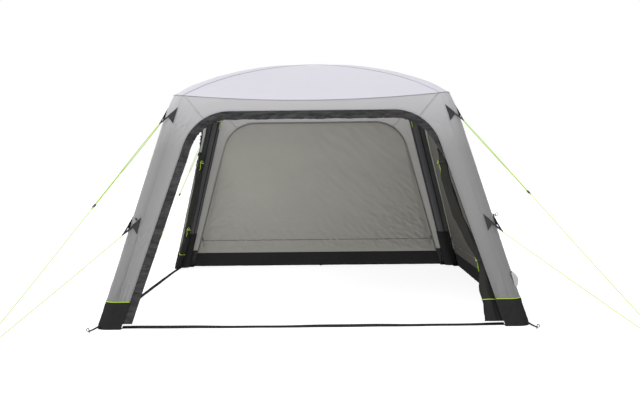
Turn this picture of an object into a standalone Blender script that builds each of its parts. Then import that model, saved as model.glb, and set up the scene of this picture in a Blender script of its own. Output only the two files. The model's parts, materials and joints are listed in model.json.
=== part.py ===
"""Inflatable event shelter: an air frame of four leaning legs that meet at the crown, dressed in cloth.

Metres, +Z up. The origin is on the ground at the centre of the base, and the front faces -Y.
Every leg and every side is drawn once, at the front right leg and on the front side, and
turned in quarter turns to its other places. On a side, s runs along the face and depth runs
inwards, square to it, from the outer skin.
"""
import math

import bmesh
import bpy
from mathutils import Matrix, Vector

# Overall form
BASE_HALF = 1.83
LEAN = 0.279
EAVE_CORNER_HEIGHT = 2.008
EAVE_MIDDLE_HEIGHT = 1.943
CROWN_HEIGHT = 2.405
CORNER_RADIUS = 0.10

# Cloth layers
CLOTH = 0.003
LAYER_GAP = 0.0005
SEAM_GAP = 0.0005
LAP = 0.014
LAP_CLEARANCE = 0.001
EAVE_TUCK = 0.004
GROUND_CLEARANCE = 0.004

# Arch in each side
LEG_FOOT_WIDTH = 0.215
HEADER_DEPTH = 0.0974
MITRE_INSET = 0.1238
EDGE_FOOT = BASE_HALF - LEG_FOOT_WIDTH
EDGE_LEAN = 0.31
ARCH_TOP = EAVE_MIDDLE_HEIGHT - HEADER_DEPTH
ARCH_RADIUS = 0.42
MITRE_ANGLE = math.radians(57)
MITRE_EAVE = BASE_HALF - LEAN * EAVE_CORNER_HEIGHT - MITRE_INSET

# Air frame
TUBE_RADIUS = 0.056
TUBE_FOOT = 0.042
TUBE_ROOF_DEPTH = 0.10
TUBE_BEND_REACH = 0.10
KNEE_LEG_DROP = 0.93 * TUBE_BEND_REACH
KNEE_ROOF_RUN = 0.65 * TUBE_BEND_REACH
ROOF_RUN_END = 0.30
LEVEL_RUN = 0.06
JOINER_ARM = 0.22
JOINER_WALL = 0.006
SLEEVE_CLEARANCE = 0.007
SLEEVE_WRAP = math.radians(30)
SLEEVE_TOP = 1.82

# Boots
BOOT_HEIGHT = 0.222
BOOT_SOLE = 0.075
BOOT_CLEARANCE = 0.0015

# Storm flaps
FLAP_WIDTH = 0.075
FLAP_LAP = 0.02
FLAP_FOOT = 0.045
FLAP_TUCKED_TOP = 1.42
FLAP_TUCKED_WIDTH = 0.004

# Walls and their skirts
WALL_INSET = 0.004
WALL_BELLY = 0.012
SKIRT_HEIGHT = 0.185

# Rolled walls
ROLL_RADIUS = 0.056
ROLL_PINCH = 0.012
ROLL_PINCH_REACH = 0.05
ROLL_FOLD = 0.005
ROLL_FOLDS = 3
ROLL_TWIST = 2.4
ROLL_INSET = 0.040
ROLL_FOOT = 0.045
ROLL_TOP = 1.50
ROLL_TIES = (0.45, 0.95, 1.38)
ROLL_ROWS = 24
ROLL_COLUMNS = 16

# Ground straps
STRAP_WIDTH = 0.036
STRAP_THICKNESS = 0.004
STRAP_DEPTH = 0.055
STRAP_BOW = 0.02

# Guy anchors: webbing fans from two points of a face to a tip off the corner.
# Points are given as the inset from the corner and the rise above the tip.
ANCHOR_THICKNESS = 0.004
ANCHOR_SINK = 0.0015
ANCHOR_TIP_WIDTH = 0.014
ANCHOR_CROSSING = {"front": 0.006, "side": -0.001}
UPPER_ANCHOR = {"tip": 1.736, "out": 0.004, "high": (0.1085, 0.151), "notch": (0.0542, 0.059), "low": (0.1120, 0.006)}
LOWER_ANCHOR = {"tip": 0.775, "out": 0.018, "high": (0.0929, 0.150), "notch": (0.0520, 0.060), "low": (0.1001, 0.006)}

# Guy ropes
ROPE_DIAMETER = 0.004
ROPE_CLEARANCE = 0.012
STRAND_SPACING = 0.012
RUNNER_DISTANCES = {"front_right": 0.89, "rear_right": 1.05, "rear_left": 1.10, "front_left": 0.99}
RUNNER_SIZE = (0.024, 0.011, 0.034)
RUNNER_HOLE = 0.0068
RUNNER_BEVEL = 0.003
KNOT_TAIL = 0.03
STRAND_MERGE = 0.10
UPPER_ROPE_SAG = 0.006
LOWER_ROPE_SAG = 0.005

# Pegs, above the ground
PEG_DIAMETER = 0.009
PEG_HEIGHT = 0.075
PEG_HOOK_RADIUS = 0.014
PEG_HOOK_DROP = 0.018
UPPER_ROPE_HEIGHT_ON_PEG = 0.050
LOWER_ROPE_HEIGHT_ON_PEG = 0.032
PEG_ROPE_CLEARANCE = 0.0005
PEG_PLACES = {
    "front_right": (2.581, -2.692),
    "rear_right": (2.47, 2.72),
    "rear_left": (-2.344, 2.674),
    "front_left": (-2.391, -2.834),
}
FOOT_PEG_DIAMETER = 0.007
FOOT_PEG_HEIGHT = 0.030
FOOT_PEG_HOOK_RADIUS = 0.011
FOOT_PEG_OUT = (0.015, 0.115)

# Inflation valve in the front right leg, and the pocket over it
VALVE_HEIGHT = 0.345
VALVE_FLANGE_RADIUS = 0.030
VALVE_NECK_RADIUS = 0.018
VALVE_FLANGE_THICKNESS = 0.005
VALVE_LENGTH = 0.042
VALVE_STANDOFF = 0.001
VALVE_HOLE_RADIUS = 0.036
CAP_RADIUS = 0.021
CAP_THICKNESS = 0.007
CAP_GRIPS = 12
CAP_GRIP_DEPTH = 0.0015
POCKET_WIDTH = 0.125
POCKET_HEIGHT = 0.125
POCKET_BULGE = 0.030
POCKET_SWEEP = 0.9 * math.pi
POCKET_CLEARANCE = 0.001

# Zip sliders
SLIDER_SIZE = (0.013, 0.007, 0.024)
PULL_SIZE = (0.006, 0.002, 0.040)
SLIDER_HEIGHT = 0.38
SLIDER_EDGE_INSET = 0.020
SLIDER_CLEARANCE = 0.002

# Mesh counts
CORNER_STEPS = 6
STRAIGHT_CELLS = 7
ROOF_RINGS = STRAIGHT_CELLS + CORNER_STEPS // 2
LEG_CELLS = 3
ARC_CELLS = 6
TOP_CELLS = 6
TUBE_RESOLUTION = 3
ROPE_RESOLUTION = 2

LEGS = ("front_right", "rear_right", "rear_left", "front_left")
SIDES = ("front", "right", "rear", "left")
SLANT = math.hypot(1, LEAN)
EDGE_SLANT = math.hypot(1, EDGE_LEAN)
INWARD = Vector((0, 1, -LEAN)) / SLANT
ARC_CENTRE_HEIGHT = ARCH_TOP - ARCH_RADIUS
ARC_CENTRE_S = EDGE_FOOT - EDGE_LEAN * ARC_CENTRE_HEIGHT - ARCH_RADIUS * EDGE_SLANT
LAYER = CLOTH + LAYER_GAP


# Scene and materials

def clear_scene():
    """Remove whatever the file holds."""
    for item in list(bpy.data.objects):
        bpy.data.objects.remove(item, do_unlink=True)


def new_collection(name):
    """Add a collection to the scene."""
    collection = bpy.data.collections.new(name)
    bpy.context.scene.collection.children.link(collection)
    return collection


def material(name, colour, roughness, metallic=0.0):
    """A plain surface of one colour, given as linear red, green and blue."""
    made = bpy.data.materials.new(name)
    made.use_nodes = True
    surface = made.node_tree.nodes["Principled BSDF"]
    surface.inputs["Base Color"].default_value = (*colour, 1.0)
    surface.inputs["Roughness"].default_value = roughness
    surface.inputs["Metallic"].default_value = metallic
    return made


clear_scene()
SHELTER = new_collection("inflatable_event_shelter")
CUTTERS = new_collection("cutters")
ROOF_CLOTH = material("roof_cloth", (0.76, 0.75, 0.80), 0.55)
COVER_CLOTH = material("cover_cloth", (0.40, 0.40, 0.41), 0.60)
FLAP_CLOTH = material("flap_cloth", (0.055, 0.055, 0.058), 0.65)
BOOT_CLOTH = material("boot_coated_cloth", (0.028, 0.028, 0.030), 0.45)
WALL_CLOTH = material("wall_cloth", (0.23, 0.23, 0.20), 0.60)
ROLL_CLOTH = material("rolled_wall_cloth", (0.085, 0.083, 0.070), 0.60)
SLEEVE_CLOTH = material("sleeve_cloth", (0.070, 0.070, 0.070), 0.65)
BLADDER = material("air_tube_film", (0.30, 0.31, 0.32), 0.35)
WEBBING = material("webbing", (0.030, 0.030, 0.032), 0.75)
ROPE = material("lime_rope", (0.45, 0.62, 0.06), 0.60)
PLASTIC = material("black_plastic", (0.020, 0.020, 0.022), 0.40)
STEEL = material("galvanised_steel", (0.50, 0.50, 0.52), 0.35, 1.0)


# Objects

def add_object(name, data, surface, collection=SHELTER):
    """Put a mesh or a curve in the model as one named piece."""
    piece = bpy.data.objects.new(name, data)
    if surface and not data.materials:
        data.materials.append(surface)
    collection.objects.link(piece)
    return piece


def add_cutter(name, data):
    """Put a mesh in the model as a tool that isn't part of it."""
    cutter = add_object(name, data, None, CUTTERS)
    cutter.hide_render = True
    cutter.display_type = "WIRE"
    return cutter


def quarter_turn(index):
    """The turn from the front side, or the front right leg, to another."""
    return Matrix.Rotation(math.pi / 2 * index, 4, "Z")


def mesh_from(bm, name, smooth=True):
    """Turn a bmesh into a mesh."""
    data = bpy.data.meshes.new(name)
    bm.to_mesh(data)
    bm.free()
    if smooth:
        data.shade_smooth()
    return data


def boolean(piece, cutter, operation):
    """Cut a piece by another, or join them."""
    cut = piece.modifiers.new(operation.lower(), "BOOLEAN")
    cut.object = cutter
    cut.operation = operation
    cut.solver = "EXACT"


def baked(piece):
    """The mesh of a piece with its modifiers applied."""
    bpy.context.view_layer.update()
    depsgraph = bpy.context.evaluated_depsgraph_get()
    return bpy.data.meshes.new_from_object(piece.evaluated_get(depsgraph), depsgraph=depsgraph)


def sheet_mesh(name, columns, rows, place):
    """A grid whose points go where place(column, row) says."""
    bm = bmesh.new()
    bmesh.ops.create_grid(bm, x_segments=columns, y_segments=rows, size=0.5)
    for vert in bm.verts:
        column = round((vert.co.x + 0.5) * columns)
        row = round((vert.co.y + 0.5) * rows)
        vert.co = place(column, row)
    return mesh_from(bm, name)


def thicken(piece, thickness=CLOTH):
    """Give a sheet its thickness behind the side that it faces."""
    wall = piece.modifiers.new("thickness", "SOLIDIFY")
    wall.thickness = thickness
    wall.offset = -1
    wall.use_even_offset = True


def add_sheet(name, columns, rows, place, surface, thickness=CLOTH):
    """A piece of cloth with its thickness."""
    piece = add_object(name, sheet_mesh(name, columns, rows, place), surface)
    thicken(piece, thickness)
    return piece


def add_tube(name, points, radius, surface, resolution):
    """A tube with closed ends along points."""
    curve = bpy.data.curves.new(name, "CURVE")
    curve.dimensions = "3D"
    curve.bevel_depth = radius
    curve.bevel_resolution = resolution
    curve.use_fill_caps = True
    spline = curve.splines.new("POLY")
    spline.points.add(len(points) - 1)
    for index, place in enumerate(points):
        spline.points[index].co = (*place, 1.0)
    return add_object(name, curve, surface)


# Geometry that the pieces share

def face_half(height):
    """How far a face stands from the centre at a height."""
    return BASE_HALF - LEAN * height


def on_face(s, height, depth=0.0):
    """A point of the front side at a depth behind its outer skin."""
    return Vector((s, -face_half(height), height)) + depth * INWARD


def eave_height(s):
    """Height of the eave along a side."""
    reach = face_half(EAVE_CORNER_HEIGHT) - CORNER_RADIUS * (1 - math.sin(math.pi / 4))
    return EAVE_MIDDLE_HEIGHT + (EAVE_CORNER_HEIGHT - EAVE_MIDDLE_HEIGHT) * (s / reach) ** 2


def eave_point(step, out, drop):
    """A point of the eave on the front side, step running from 0 at the middle to ROOF_RINGS at the corner."""
    turn = max(0, abs(step) - STRAIGHT_CELLS) * math.pi / 2 / CORNER_STEPS
    run = min(STRAIGHT_CELLS, abs(step)) / STRAIGHT_CELLS
    nominal = face_half(EAVE_CORNER_HEIGHT) - CORNER_RADIUS
    height = eave_height(run * nominal + CORNER_RADIUS * math.sin(turn)) - drop
    centre = face_half(height) - CORNER_RADIUS
    radius = CORNER_RADIUS + out * SLANT
    s = run * centre + radius * math.sin(turn)
    return Vector((math.copysign(s, step), -centre - radius * math.cos(turn), height))


def arch_half(offset, foot, end=math.pi / 2):
    """Right half of an arch, from its foot up to the end of its arc, widened by an offset."""
    radius = ARCH_RADIUS + offset
    start = math.atan(EDGE_LEAN)
    arc = []
    for step in range(ARC_CELLS + 1):
        angle = start + (end - start) * step / ARC_CELLS
        arc.append((ARC_CENTRE_S + radius * math.cos(angle), ARC_CENTRE_HEIGHT + radius * math.sin(angle)))
    low = (EDGE_FOOT + offset * EDGE_SLANT - EDGE_LEAN * foot, foot)
    leg = []
    for step in range(LEG_CELLS):
        share = step / LEG_CELLS
        leg.append((low[0] + (arc[0][0] - low[0]) * share, low[1] + (arc[0][1] - low[1]) * share))
    return leg + arc


def arch_outline(offset, foot):
    """A whole arch from its left foot to its right foot."""
    half = arch_half(offset, foot)
    left = [(-s, height) for s, height in half]
    end_s, end_height = half[-1]
    across = [(end_s * (2 * step / TOP_CELLS - 1), end_height) for step in range(1, TOP_CELLS)]
    return left + across + half[::-1]


def blend(low, high, share):
    """A value a share of the way between two."""
    return low + (high - low) * share


# Roof

def make_roof():
    """The canopy: a vault between ridges on the diagonals, with a hem that laps the eaves."""
    out = CLOTH + LAP_CLEARANCE
    rings = ROOF_RINGS
    bm = bmesh.new()
    bmesh.ops.create_grid(bm, x_segments=2 * rings, y_segments=2 * rings, size=rings)

    def eave_of(vert, drop):
        x, y = round(vert.co.x), round(vert.co.y)
        ring = max(abs(x), abs(y))
        for turn in range(4):
            if -y == ring:
                break
            x, y = y, -x
        share = ring / rings
        spot = eave_point(x / share if ring else 0, out, drop)
        return share, quarter_turn(turn) @ spot

    hem = {}
    for vert in bm.verts:
        share, spot = eave_of(vert, -SEAM_GAP)
        if share == 1:
            hem[vert.index] = eave_of(vert, LAP)[1]
        height = CROWN_HEIGHT - (CROWN_HEIGHT - spot.z) * share ** 2
        vert.co = (spot.x * share, spot.y * share, height)
    rim = [edge for edge in bm.edges if edge.is_boundary]
    places = {vert: hem[vert.index] for edge in rim for vert in edge.verts}
    pulled = bmesh.ops.extrude_edge_only(bm, edges=rim)["geom"]
    lower = [item for item in pulled if isinstance(item, bmesh.types.BMVert)]
    for vert in lower:
        nearest = min(places, key=lambda upper: (upper.co - vert.co).length)
        vert.co = places[nearest]
    bmesh.ops.recalc_face_normals(bm, faces=bm.faces)
    if max(bm.faces, key=lambda face: face.calc_center_median().z).normal.z < 0:
        bmesh.ops.reverse_faces(bm, faces=bm.faces)
    roof = add_object("roof_canopy", mesh_from(bm, "roof_canopy"), ROOF_CLOTH)
    thicken(roof)


# Leg covers and headers

def cover_place(edge, corner_columns):
    """Where the points of a leg cover go: columns run from arch edge to arch edge round the corner."""
    top_height = edge[-1][1]
    foot_height = edge[0][1]
    middle = 2 + CORNER_STEPS // 2

    def half_point(column, row):
        edge_s, edge_height = edge[row]
        rise = (edge_height - foot_height) / (top_height - foot_height)
        if column <= 2:
            top_s = blend(MITRE_EAVE, face_half(EAVE_CORNER_HEIGHT) - CORNER_RADIUS, column / 2)
            column_top = eave_height(top_s) - EAVE_TUCK
            height = blend(foot_height, column_top, rise)
            s = blend(edge_s, face_half(height) - CORNER_RADIUS, column / 2)
            return Vector((s, -face_half(height), height))
        column_top = corner_columns[column - 2]
        height = blend(foot_height, column_top, rise)
        turn = (column - 2) * math.pi / 2 / CORNER_STEPS
        centre = face_half(height) - CORNER_RADIUS
        return Vector((centre + CORNER_RADIUS * math.sin(turn), -centre - CORNER_RADIUS * math.cos(turn), height))

    def place(column, row):
        if column <= middle:
            return half_point(column, row)
        spot = half_point(2 * middle - column, row)
        return Vector((-spot.y, -spot.x, spot.z))

    return place


def cover_edge():
    """The inner edge of a leg cover: up the leg, round the arc and up the mitre to the eave."""
    edge = arch_half(0, 2 * CLOTH, MITRE_ANGLE)
    low_s, low_height = edge[-1]
    high_height = eave_height(MITRE_EAVE) - EAVE_TUCK
    for share in (0.5, 1.0):
        edge.append((blend(low_s, MITRE_EAVE, share), blend(low_height, high_height, share)))
    return edge


def anchor_fan(anchor, label):
    """A webbing fan on a face that runs out to a tip off the corner. The side fan ends in the front one."""
    tip_half = face_half(anchor["tip"]) + anchor["out"]
    tip = Vector((tip_half + ANCHOR_CROSSING[label], -tip_half, anchor["tip"]))
    tip_rise = Vector((0, 0, ANCHOR_TIP_WIDTH / (2 if label == "front" else 3)))
    lift = ANCHOR_THICKNESS - ANCHOR_SINK

    def fan_point(key):
        inset, rise = anchor[key]
        height = anchor["tip"] + rise
        return on_face(face_half(height) - inset, height, -lift)

    high, notch, low = fan_point("high"), fan_point("notch"), fan_point("low")
    bm = bmesh.new()
    corners = [bm.verts.new(spot) for spot in (high, low, notch, tip - tip_rise, tip + tip_rise)]
    face = bm.faces.new(corners)
    face.normal_update()
    if face.normal.dot(INWARD) > 0:
        face.normal_flip()
    bmesh.ops.triangulate(bm, faces=bm.faces[:])
    fan = mesh_from(bm, f"{label}_fan", smooth=False)
    holder = add_object(f"{label}_fan", fan, WEBBING, CUTTERS)
    thicken(holder, ANCHOR_THICKNESS)
    solid = baked(holder)
    bpy.data.objects.remove(holder)
    if label == "side":
        solid.transform(Matrix(((0, -1, 0, 0), (-1, 0, 0, 0), (0, 0, 1, 0), (0, 0, 0, 1))))
        solid.flip_normals()
    return solid


def make_leg_covers():
    """A cover round each leg, its guy anchors sewn on, and a hole for the valve in one of them."""
    edge = cover_edge()
    half = ROOF_RINGS - STRAIGHT_CELLS
    corner_tops = [eave_point(STRAIGHT_CELLS + step, 0, 0).z - EAVE_TUCK for step in range(half + 1)]
    columns = 2 * (2 + CORNER_STEPS // 2)
    pattern = add_sheet("cover_pattern", columns, len(edge) - 1, cover_place(edge, corner_tops), COVER_CLOTH)
    tools = []
    for anchor in (UPPER_ANCHOR, LOWER_ANCHOR):
        for label in ("front", "side"):
            tool = add_cutter(f"anchor_{label}", anchor_fan(anchor, label))
            boolean(pattern, tool, "UNION")
            tools.append(tool)
    cover = baked(pattern)
    bm = bmesh.new()
    bm.from_mesh(cover)
    bmesh.ops.triangulate(bm, faces=bm.faces[:])
    bmesh.ops.dissolve_degenerate(bm, dist=0.00002, edges=bm.edges[:])
    bm.to_mesh(cover)
    bm.free()
    bpy.data.objects.remove(pattern)
    for tool in tools:
        bpy.data.objects.remove(tool)
    for index, leg in enumerate(LEGS):
        piece = add_object(f"leg_cover_{leg}", cover, COVER_CLOTH)
        piece.matrix_world = quarter_turn(index)
        if index == 0:
            boolean(piece, valve_hole(), "DIFFERENCE")


def make_headers():
    """The band of cloth over each arch, mitred into the leg covers."""
    half = arch_half(0, 0, math.pi / 2)[LEG_CELLS:]
    mitre = arch_half(0, 0, MITRE_ANGLE)[-1]
    arc = [mitre] + [point for point in half if point[0] < mitre[0] - ARCH_RADIUS / 10]
    end_s = arc[-1][0]
    across = [(end_s * (1 - 2 * step / TOP_CELLS), ARCH_TOP) for step in range(1, TOP_CELLS)]
    lower = [(-s, height) for s, height in arc] + across[::-1] + arc[::-1]
    ends = (0, len(lower) - 1)

    def place(column, row):
        s, height = lower[column]
        top_s = s * MITRE_EAVE / mitre[0]
        top_height = eave_height(top_s) - EAVE_TUCK
        along = blend(s, top_s, row / 2)
        if column in ends:
            along -= math.copysign(SEAM_GAP, s)
        return on_face(along, blend(height, top_height, row / 2))

    pattern = sheet_mesh("header_panel", len(lower) - 1, 2, place)
    for index, side in enumerate(SIDES):
        piece = add_object(f"header_panel_{side}", pattern, COVER_CLOTH)
        piece.matrix_world = quarter_turn(index)
        thicken(piece)


# Storm flaps, walls, skirts and rolls

def make_flaps():
    """A dark flap along the edge of each arch. Beside a rolled wall its leg part is tucked away."""
    outer = arch_outline(FLAP_LAP, FLAP_FOOT)
    wide = arch_outline(-FLAP_WIDTH, FLAP_FOOT)
    narrow = arch_outline(-FLAP_TUCKED_WIDTH, FLAP_FOOT)
    tucked_ends = {"front": 1, "left": -1}

    def flap_place(tucked_end):
        def place(column, row):
            inner_s, inner_height = wide[column]
            if tucked_end * inner_s > 0:
                share = (inner_height - FLAP_TUCKED_TOP) / (ARCH_TOP - FLAP_WIDTH - FLAP_TUCKED_TOP)
                share = min(1, max(0, share)) ** 0.5
                inner_s = blend(narrow[column][0], inner_s, share)
                inner_height = blend(narrow[column][1], inner_height, share)
            s = blend(inner_s, outer[column][0], row / 2)
            height = blend(inner_height, outer[column][1], row / 2)
            return on_face(s, height, LAYER)
        return place

    for index, side in enumerate(SIDES):
        place = flap_place(tucked_ends.get(side, 0))
        piece = add_sheet(f"storm_flap_{side}", len(outer) - 1, 2, place, FLAP_CLOTH)
        piece.matrix_world = quarter_turn(index)


def make_walls():
    """The two walls that are zipped in, each with a skirt on the ground."""
    top = arch_half(-WALL_INSET, SKIRT_HEIGHT)[LEG_CELLS:]
    across = [(top[-1][0] * (1 - 2 * step / TOP_CELLS), top[-1][1]) for step in range(1, TOP_CELLS)]
    upper = [(-s, height) for s, height in top] + across[::-1] + top[::-1]
    foot_s = arch_half(-WALL_INSET, SKIRT_HEIGHT + SEAM_GAP)[0][0]
    ground_s = arch_half(-WALL_INSET, GROUND_CLEARANCE)[0][0]
    skirt_s = arch_half(-WALL_INSET, SKIRT_HEIGHT)[0][0]
    columns = len(upper) - 1
    rows = 6
    wall_depth = 2 * LAYER

    def wall_place(column, row):
        across_share = column / columns * 2 - 1
        top_s, top_height = upper[column]
        s = blend(foot_s * across_share, top_s, row / rows)
        height = blend(SKIRT_HEIGHT + SEAM_GAP, top_height, row / rows)
        belly = WALL_BELLY * math.sin(math.pi * row / rows) * (1 - across_share ** 2)
        return on_face(s, height, wall_depth + belly)

    def skirt_place(column, row):
        across_share = column / columns * 2 - 1
        s = across_share * blend(ground_s, skirt_s, row)
        return on_face(s, blend(GROUND_CLEARANCE, SKIRT_HEIGHT, row), wall_depth)

    for index, side in enumerate(SIDES):
        if side in ("rear", "right"):
            for name, count, place, surface in (
                ("wall", rows, wall_place, WALL_CLOTH),
                ("wall_skirt", 1, skirt_place, BOOT_CLOTH),
            ):
                piece = add_sheet(f"{side}_{name}", columns, count, place, surface)
                piece.matrix_world = quarter_turn(index)


def roll_mesh(end):
    """A wall rolled up along a leg: its folds run up in a slow twist, and ties pinch it."""
    deep = 3 * LAYER + ROLL_RADIUS
    bm = bmesh.new()
    rings = []
    for row in range(ROLL_ROWS + 1):
        height = blend(ROLL_FOOT, ROLL_TOP, row / ROLL_ROWS)
        nearest = min(abs(height - tie) for tie in ROLL_TIES)
        pinch = math.exp(-(nearest / ROLL_PINCH_REACH) ** 2)
        centre = EDGE_FOOT - EDGE_LEAN * height - ROLL_INSET * EDGE_SLANT
        ring = []
        for column in range(ROLL_COLUMNS):
            angle = 2 * math.pi * column / ROLL_COLUMNS
            fold = ROLL_FOLD * (math.cos(ROLL_FOLDS * angle + ROLL_TWIST * height * end) - 1) * (1 - pinch)
            radius = ROLL_RADIUS - ROLL_PINCH * pinch + fold
            spot = on_face(end * centre + radius * math.cos(angle), height, deep - radius * math.sin(angle))
            ring.append(bm.verts.new(spot))
        rings.append(ring)
    for lower, upper in zip(rings, rings[1:]):
        for column in range(ROLL_COLUMNS):
            after = (column + 1) % ROLL_COLUMNS
            bm.faces.new((lower[column], lower[after], upper[after], upper[column]))
    bm.faces.new(rings[0][::-1])
    bm.faces.new(rings[-1])
    bmesh.ops.recalc_face_normals(bm, faces=bm.faces)
    return mesh_from(bm, "wall_roll")


def make_rolls():
    """The two walls that are rolled up and tied along a leg."""
    for name, index, end in (("front_wall_roll", 0, 1), ("left_wall_roll", 3, -1)):
        roll = add_object(name, roll_mesh(end), ROLL_CLOTH)
        roll.matrix_world = quarter_turn(index)


# Air frame, sleeves and boots

def ridge_point(m):
    """Point of the roof over a diagonal, m along X and back along -Y."""
    corner = eave_point(ROOF_RINGS, 0, 0)
    share = m / corner.x
    return Vector((m, -m, CROWN_HEIGHT - (CROWN_HEIGHT - corner.z) * share ** 2))


def tube_ridge_point(m):
    """Centre of an air tube under the ridge at m."""
    step = 0.01
    along = (ridge_point(m + step) - ridge_point(m - step)).normalized()
    level = Vector((1, 1, 0)).normalized()
    down = along.cross(level)
    if down.z > 0:
        down.negate()
    return ridge_point(m) + TUBE_ROOF_DEPTH * down


def leg_axis(height):
    """Centre of an air tube in its leg at a height."""
    m = face_half(height) - CORNER_RADIUS
    return Vector((m, -m, height))


def knee_height():
    """Height where the axis of the leg meets the axis under the ridge."""
    low, high = 1.5, EAVE_CORNER_HEIGHT
    for _ in range(40):
        middle = (low + high) / 2
        leg = leg_axis(middle)
        near, far = 0.5, face_half(EAVE_CORNER_HEIGHT)
        for _ in range(40):
            guess = (near + far) / 2
            if tube_ridge_point(guess).x < leg.x:
                near = guess
            else:
                far = guess
        if tube_ridge_point(near).z > leg.z:
            low = middle
        else:
            high = middle
    return low, near


def make_air_frame():
    """Four air tubes and the soft joiner that they meet at the crown."""
    height, m = knee_height()
    knee = leg_axis(height)
    leg_end = leg_axis(height - KNEE_LEG_DROP)
    roof_start = tube_ridge_point(m - KNEE_ROOF_RUN)
    joiner_height = CROWN_HEIGHT - TUBE_ROOF_DEPTH
    reach = (JOINER_ARM + SEAM_GAP) / math.sqrt(2)
    points = [leg_axis(blend(TUBE_FOOT, leg_end.z, step / 3)) for step in range(3)]
    for step in range(6):
        share = step / 5
        points.append(leg_end.lerp(knee, share).lerp(knee.lerp(roof_start, share), share))
    for step in range(1, 6):
        points.append(tube_ridge_point(blend(m - KNEE_ROOF_RUN, ROOF_RUN_END, step / 5)))
    for level in (reach + LEVEL_RUN, reach):
        points.append(Vector((level, -level, joiner_height)))
    for index, leg in enumerate(LEGS):
        tube = add_tube(f"air_tube_{leg}", points, TUBE_RADIUS, BLADDER, TUBE_RESOLUTION)
        tube.matrix_world = quarter_turn(index)
    arms = []
    for index in range(2):
        bm = bmesh.new()
        radius = TUBE_RADIUS + JOINER_WALL
        place = Matrix.Translation((0, 0, joiner_height)) @ Matrix.Rotation(math.pi / 4 + index * math.pi / 2, 4, "Z")
        turned = place @ Matrix.Rotation(math.pi / 2, 4, "Y")
        bmesh.ops.create_cone(
            bm, segments=24, radius1=radius, radius2=radius, depth=2 * JOINER_ARM, cap_ends=True, matrix=turned
        )
        arms.append(mesh_from(bm, f"crown_arm_{index}"))
    joiner = add_object("crown_joiner", arms[0], BLADDER)
    boolean(joiner, add_cutter("crown_cross_arm", arms[1]), "UNION")


def sleeve_section(height, column, radius):
    """A point of the sleeve round the room side of a tube: the first and last columns meet the faces."""
    centre = face_half(height) - CORNER_RADIUS
    depth = CORNER_RADIUS - (2 * CLOTH + SEAM_GAP) * SLANT
    middle = CORNER_STEPS // 2 + 1
    low_x = centre - radius * math.cos(SLEEVE_WRAP)

    def half_point(step):
        if step == 0:
            return low_x + (depth - radius * math.sin(SLEEVE_WRAP)) * math.tan(SLEEVE_WRAP), -centre - depth
        turn = blend(-SLEEVE_WRAP, math.pi / 4, (step - 1) / (middle - 1))
        return centre - radius * math.cos(turn), -centre + radius * math.sin(turn)

    if column <= middle:
        x, y = half_point(column)
    else:
        y, x = (-value for value in half_point(2 * middle - column))
    return Vector((x, y, height))


def make_sleeves():
    """The dark sleeve that holds each tube in its corner."""
    columns = CORNER_STEPS + 2
    rows = 6
    radius = TUBE_RADIUS + SLEEVE_CLEARANCE

    def place(column, row):
        return sleeve_section(blend(2 * CLOTH, SLEEVE_TOP, row / rows), column, radius)

    for index, leg in enumerate(LEGS):
        piece = add_sheet(f"tube_sleeve_{leg}", columns, rows, place, SLEEVE_CLOTH)
        piece.matrix_world = quarter_turn(index)


def make_boots():
    """A coated boot round the foot of each leg cover, with a sole lip turned in on the ground."""
    out = CLOTH + BOOT_CLEARANCE
    middle = 2 + CORNER_STEPS // 2
    levels = (0.0, 0.5, 1.0)

    def half_point(column, height, inset):
        half = face_half(height) + out * SLANT
        edge = EDGE_FOOT - EDGE_LEAN * height
        centre = face_half(height) - CORNER_RADIUS
        radius = CORNER_RADIUS + out * SLANT - inset
        if column <= 2:
            return Vector((blend(edge, centre, column / 2), -half + inset, height))
        turn = (column - 2) * math.pi / 2 / CORNER_STEPS
        return Vector((centre + radius * math.sin(turn), -centre - radius * math.cos(turn), height))

    def place(column, row):
        inset = BOOT_SOLE if row == 0 else 0.0
        height = 0.0 if row == 0 else BOOT_HEIGHT * levels[row - 1]
        if column <= middle:
            return half_point(column, height, inset)
        spot = half_point(2 * middle - column, height, inset)
        return Vector((-spot.y, -spot.x, spot.z))

    for index, leg in enumerate(LEGS):
        piece = add_sheet(f"leg_boot_{leg}", 2 * middle, len(levels), place, BOOT_CLOTH)
        piece.matrix_world = quarter_turn(index)


def make_ground_straps():
    """Webbing on the ground from boot to boot, on the two open sides."""
    columns = 12
    reach = EDGE_FOOT - SEAM_GAP
    for index, side in enumerate(SIDES):
        if side in ("front", "left"):
            def place(column, row):
                share = column / columns * 2 - 1
                y = -BASE_HALF + STRAP_DEPTH - STRAP_BOW * (1 - share ** 2)
                return Vector((reach * share, y + (row - 0.5) * STRAP_WIDTH, STRAP_THICKNESS))

            piece = add_sheet(f"ground_strap_{side}", columns, 1, place, WEBBING, STRAP_THICKNESS)
            piece.matrix_world = quarter_turn(index)


# Guy ropes, runners and pegs

def anchor_tip(leg, anchor):
    """The tip of a guy anchor at a leg."""
    half = face_half(anchor["tip"]) + anchor["out"]
    return quarter_turn(LEGS.index(leg)) @ Vector((half, -half, anchor["tip"]))


def rope_frame(leg, anchor, height_on_peg):
    """Start, unit direction, sideways direction and length of a rope's straight run."""
    tip = anchor_tip(leg, anchor)
    peg = Vector((*PEG_PLACES[leg], height_on_peg))
    along = (peg - tip).normalized()
    start = tip + along * ROPE_CLEARANCE
    short = (PEG_DIAMETER / 2 + ROPE_DIAMETER / 2 + PEG_ROPE_CLEARANCE) / along.xy.length
    run = (peg - start).length - short
    sideways = along.cross(Vector((0, 0, 1))).normalized()
    return start, along, sideways, run


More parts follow.
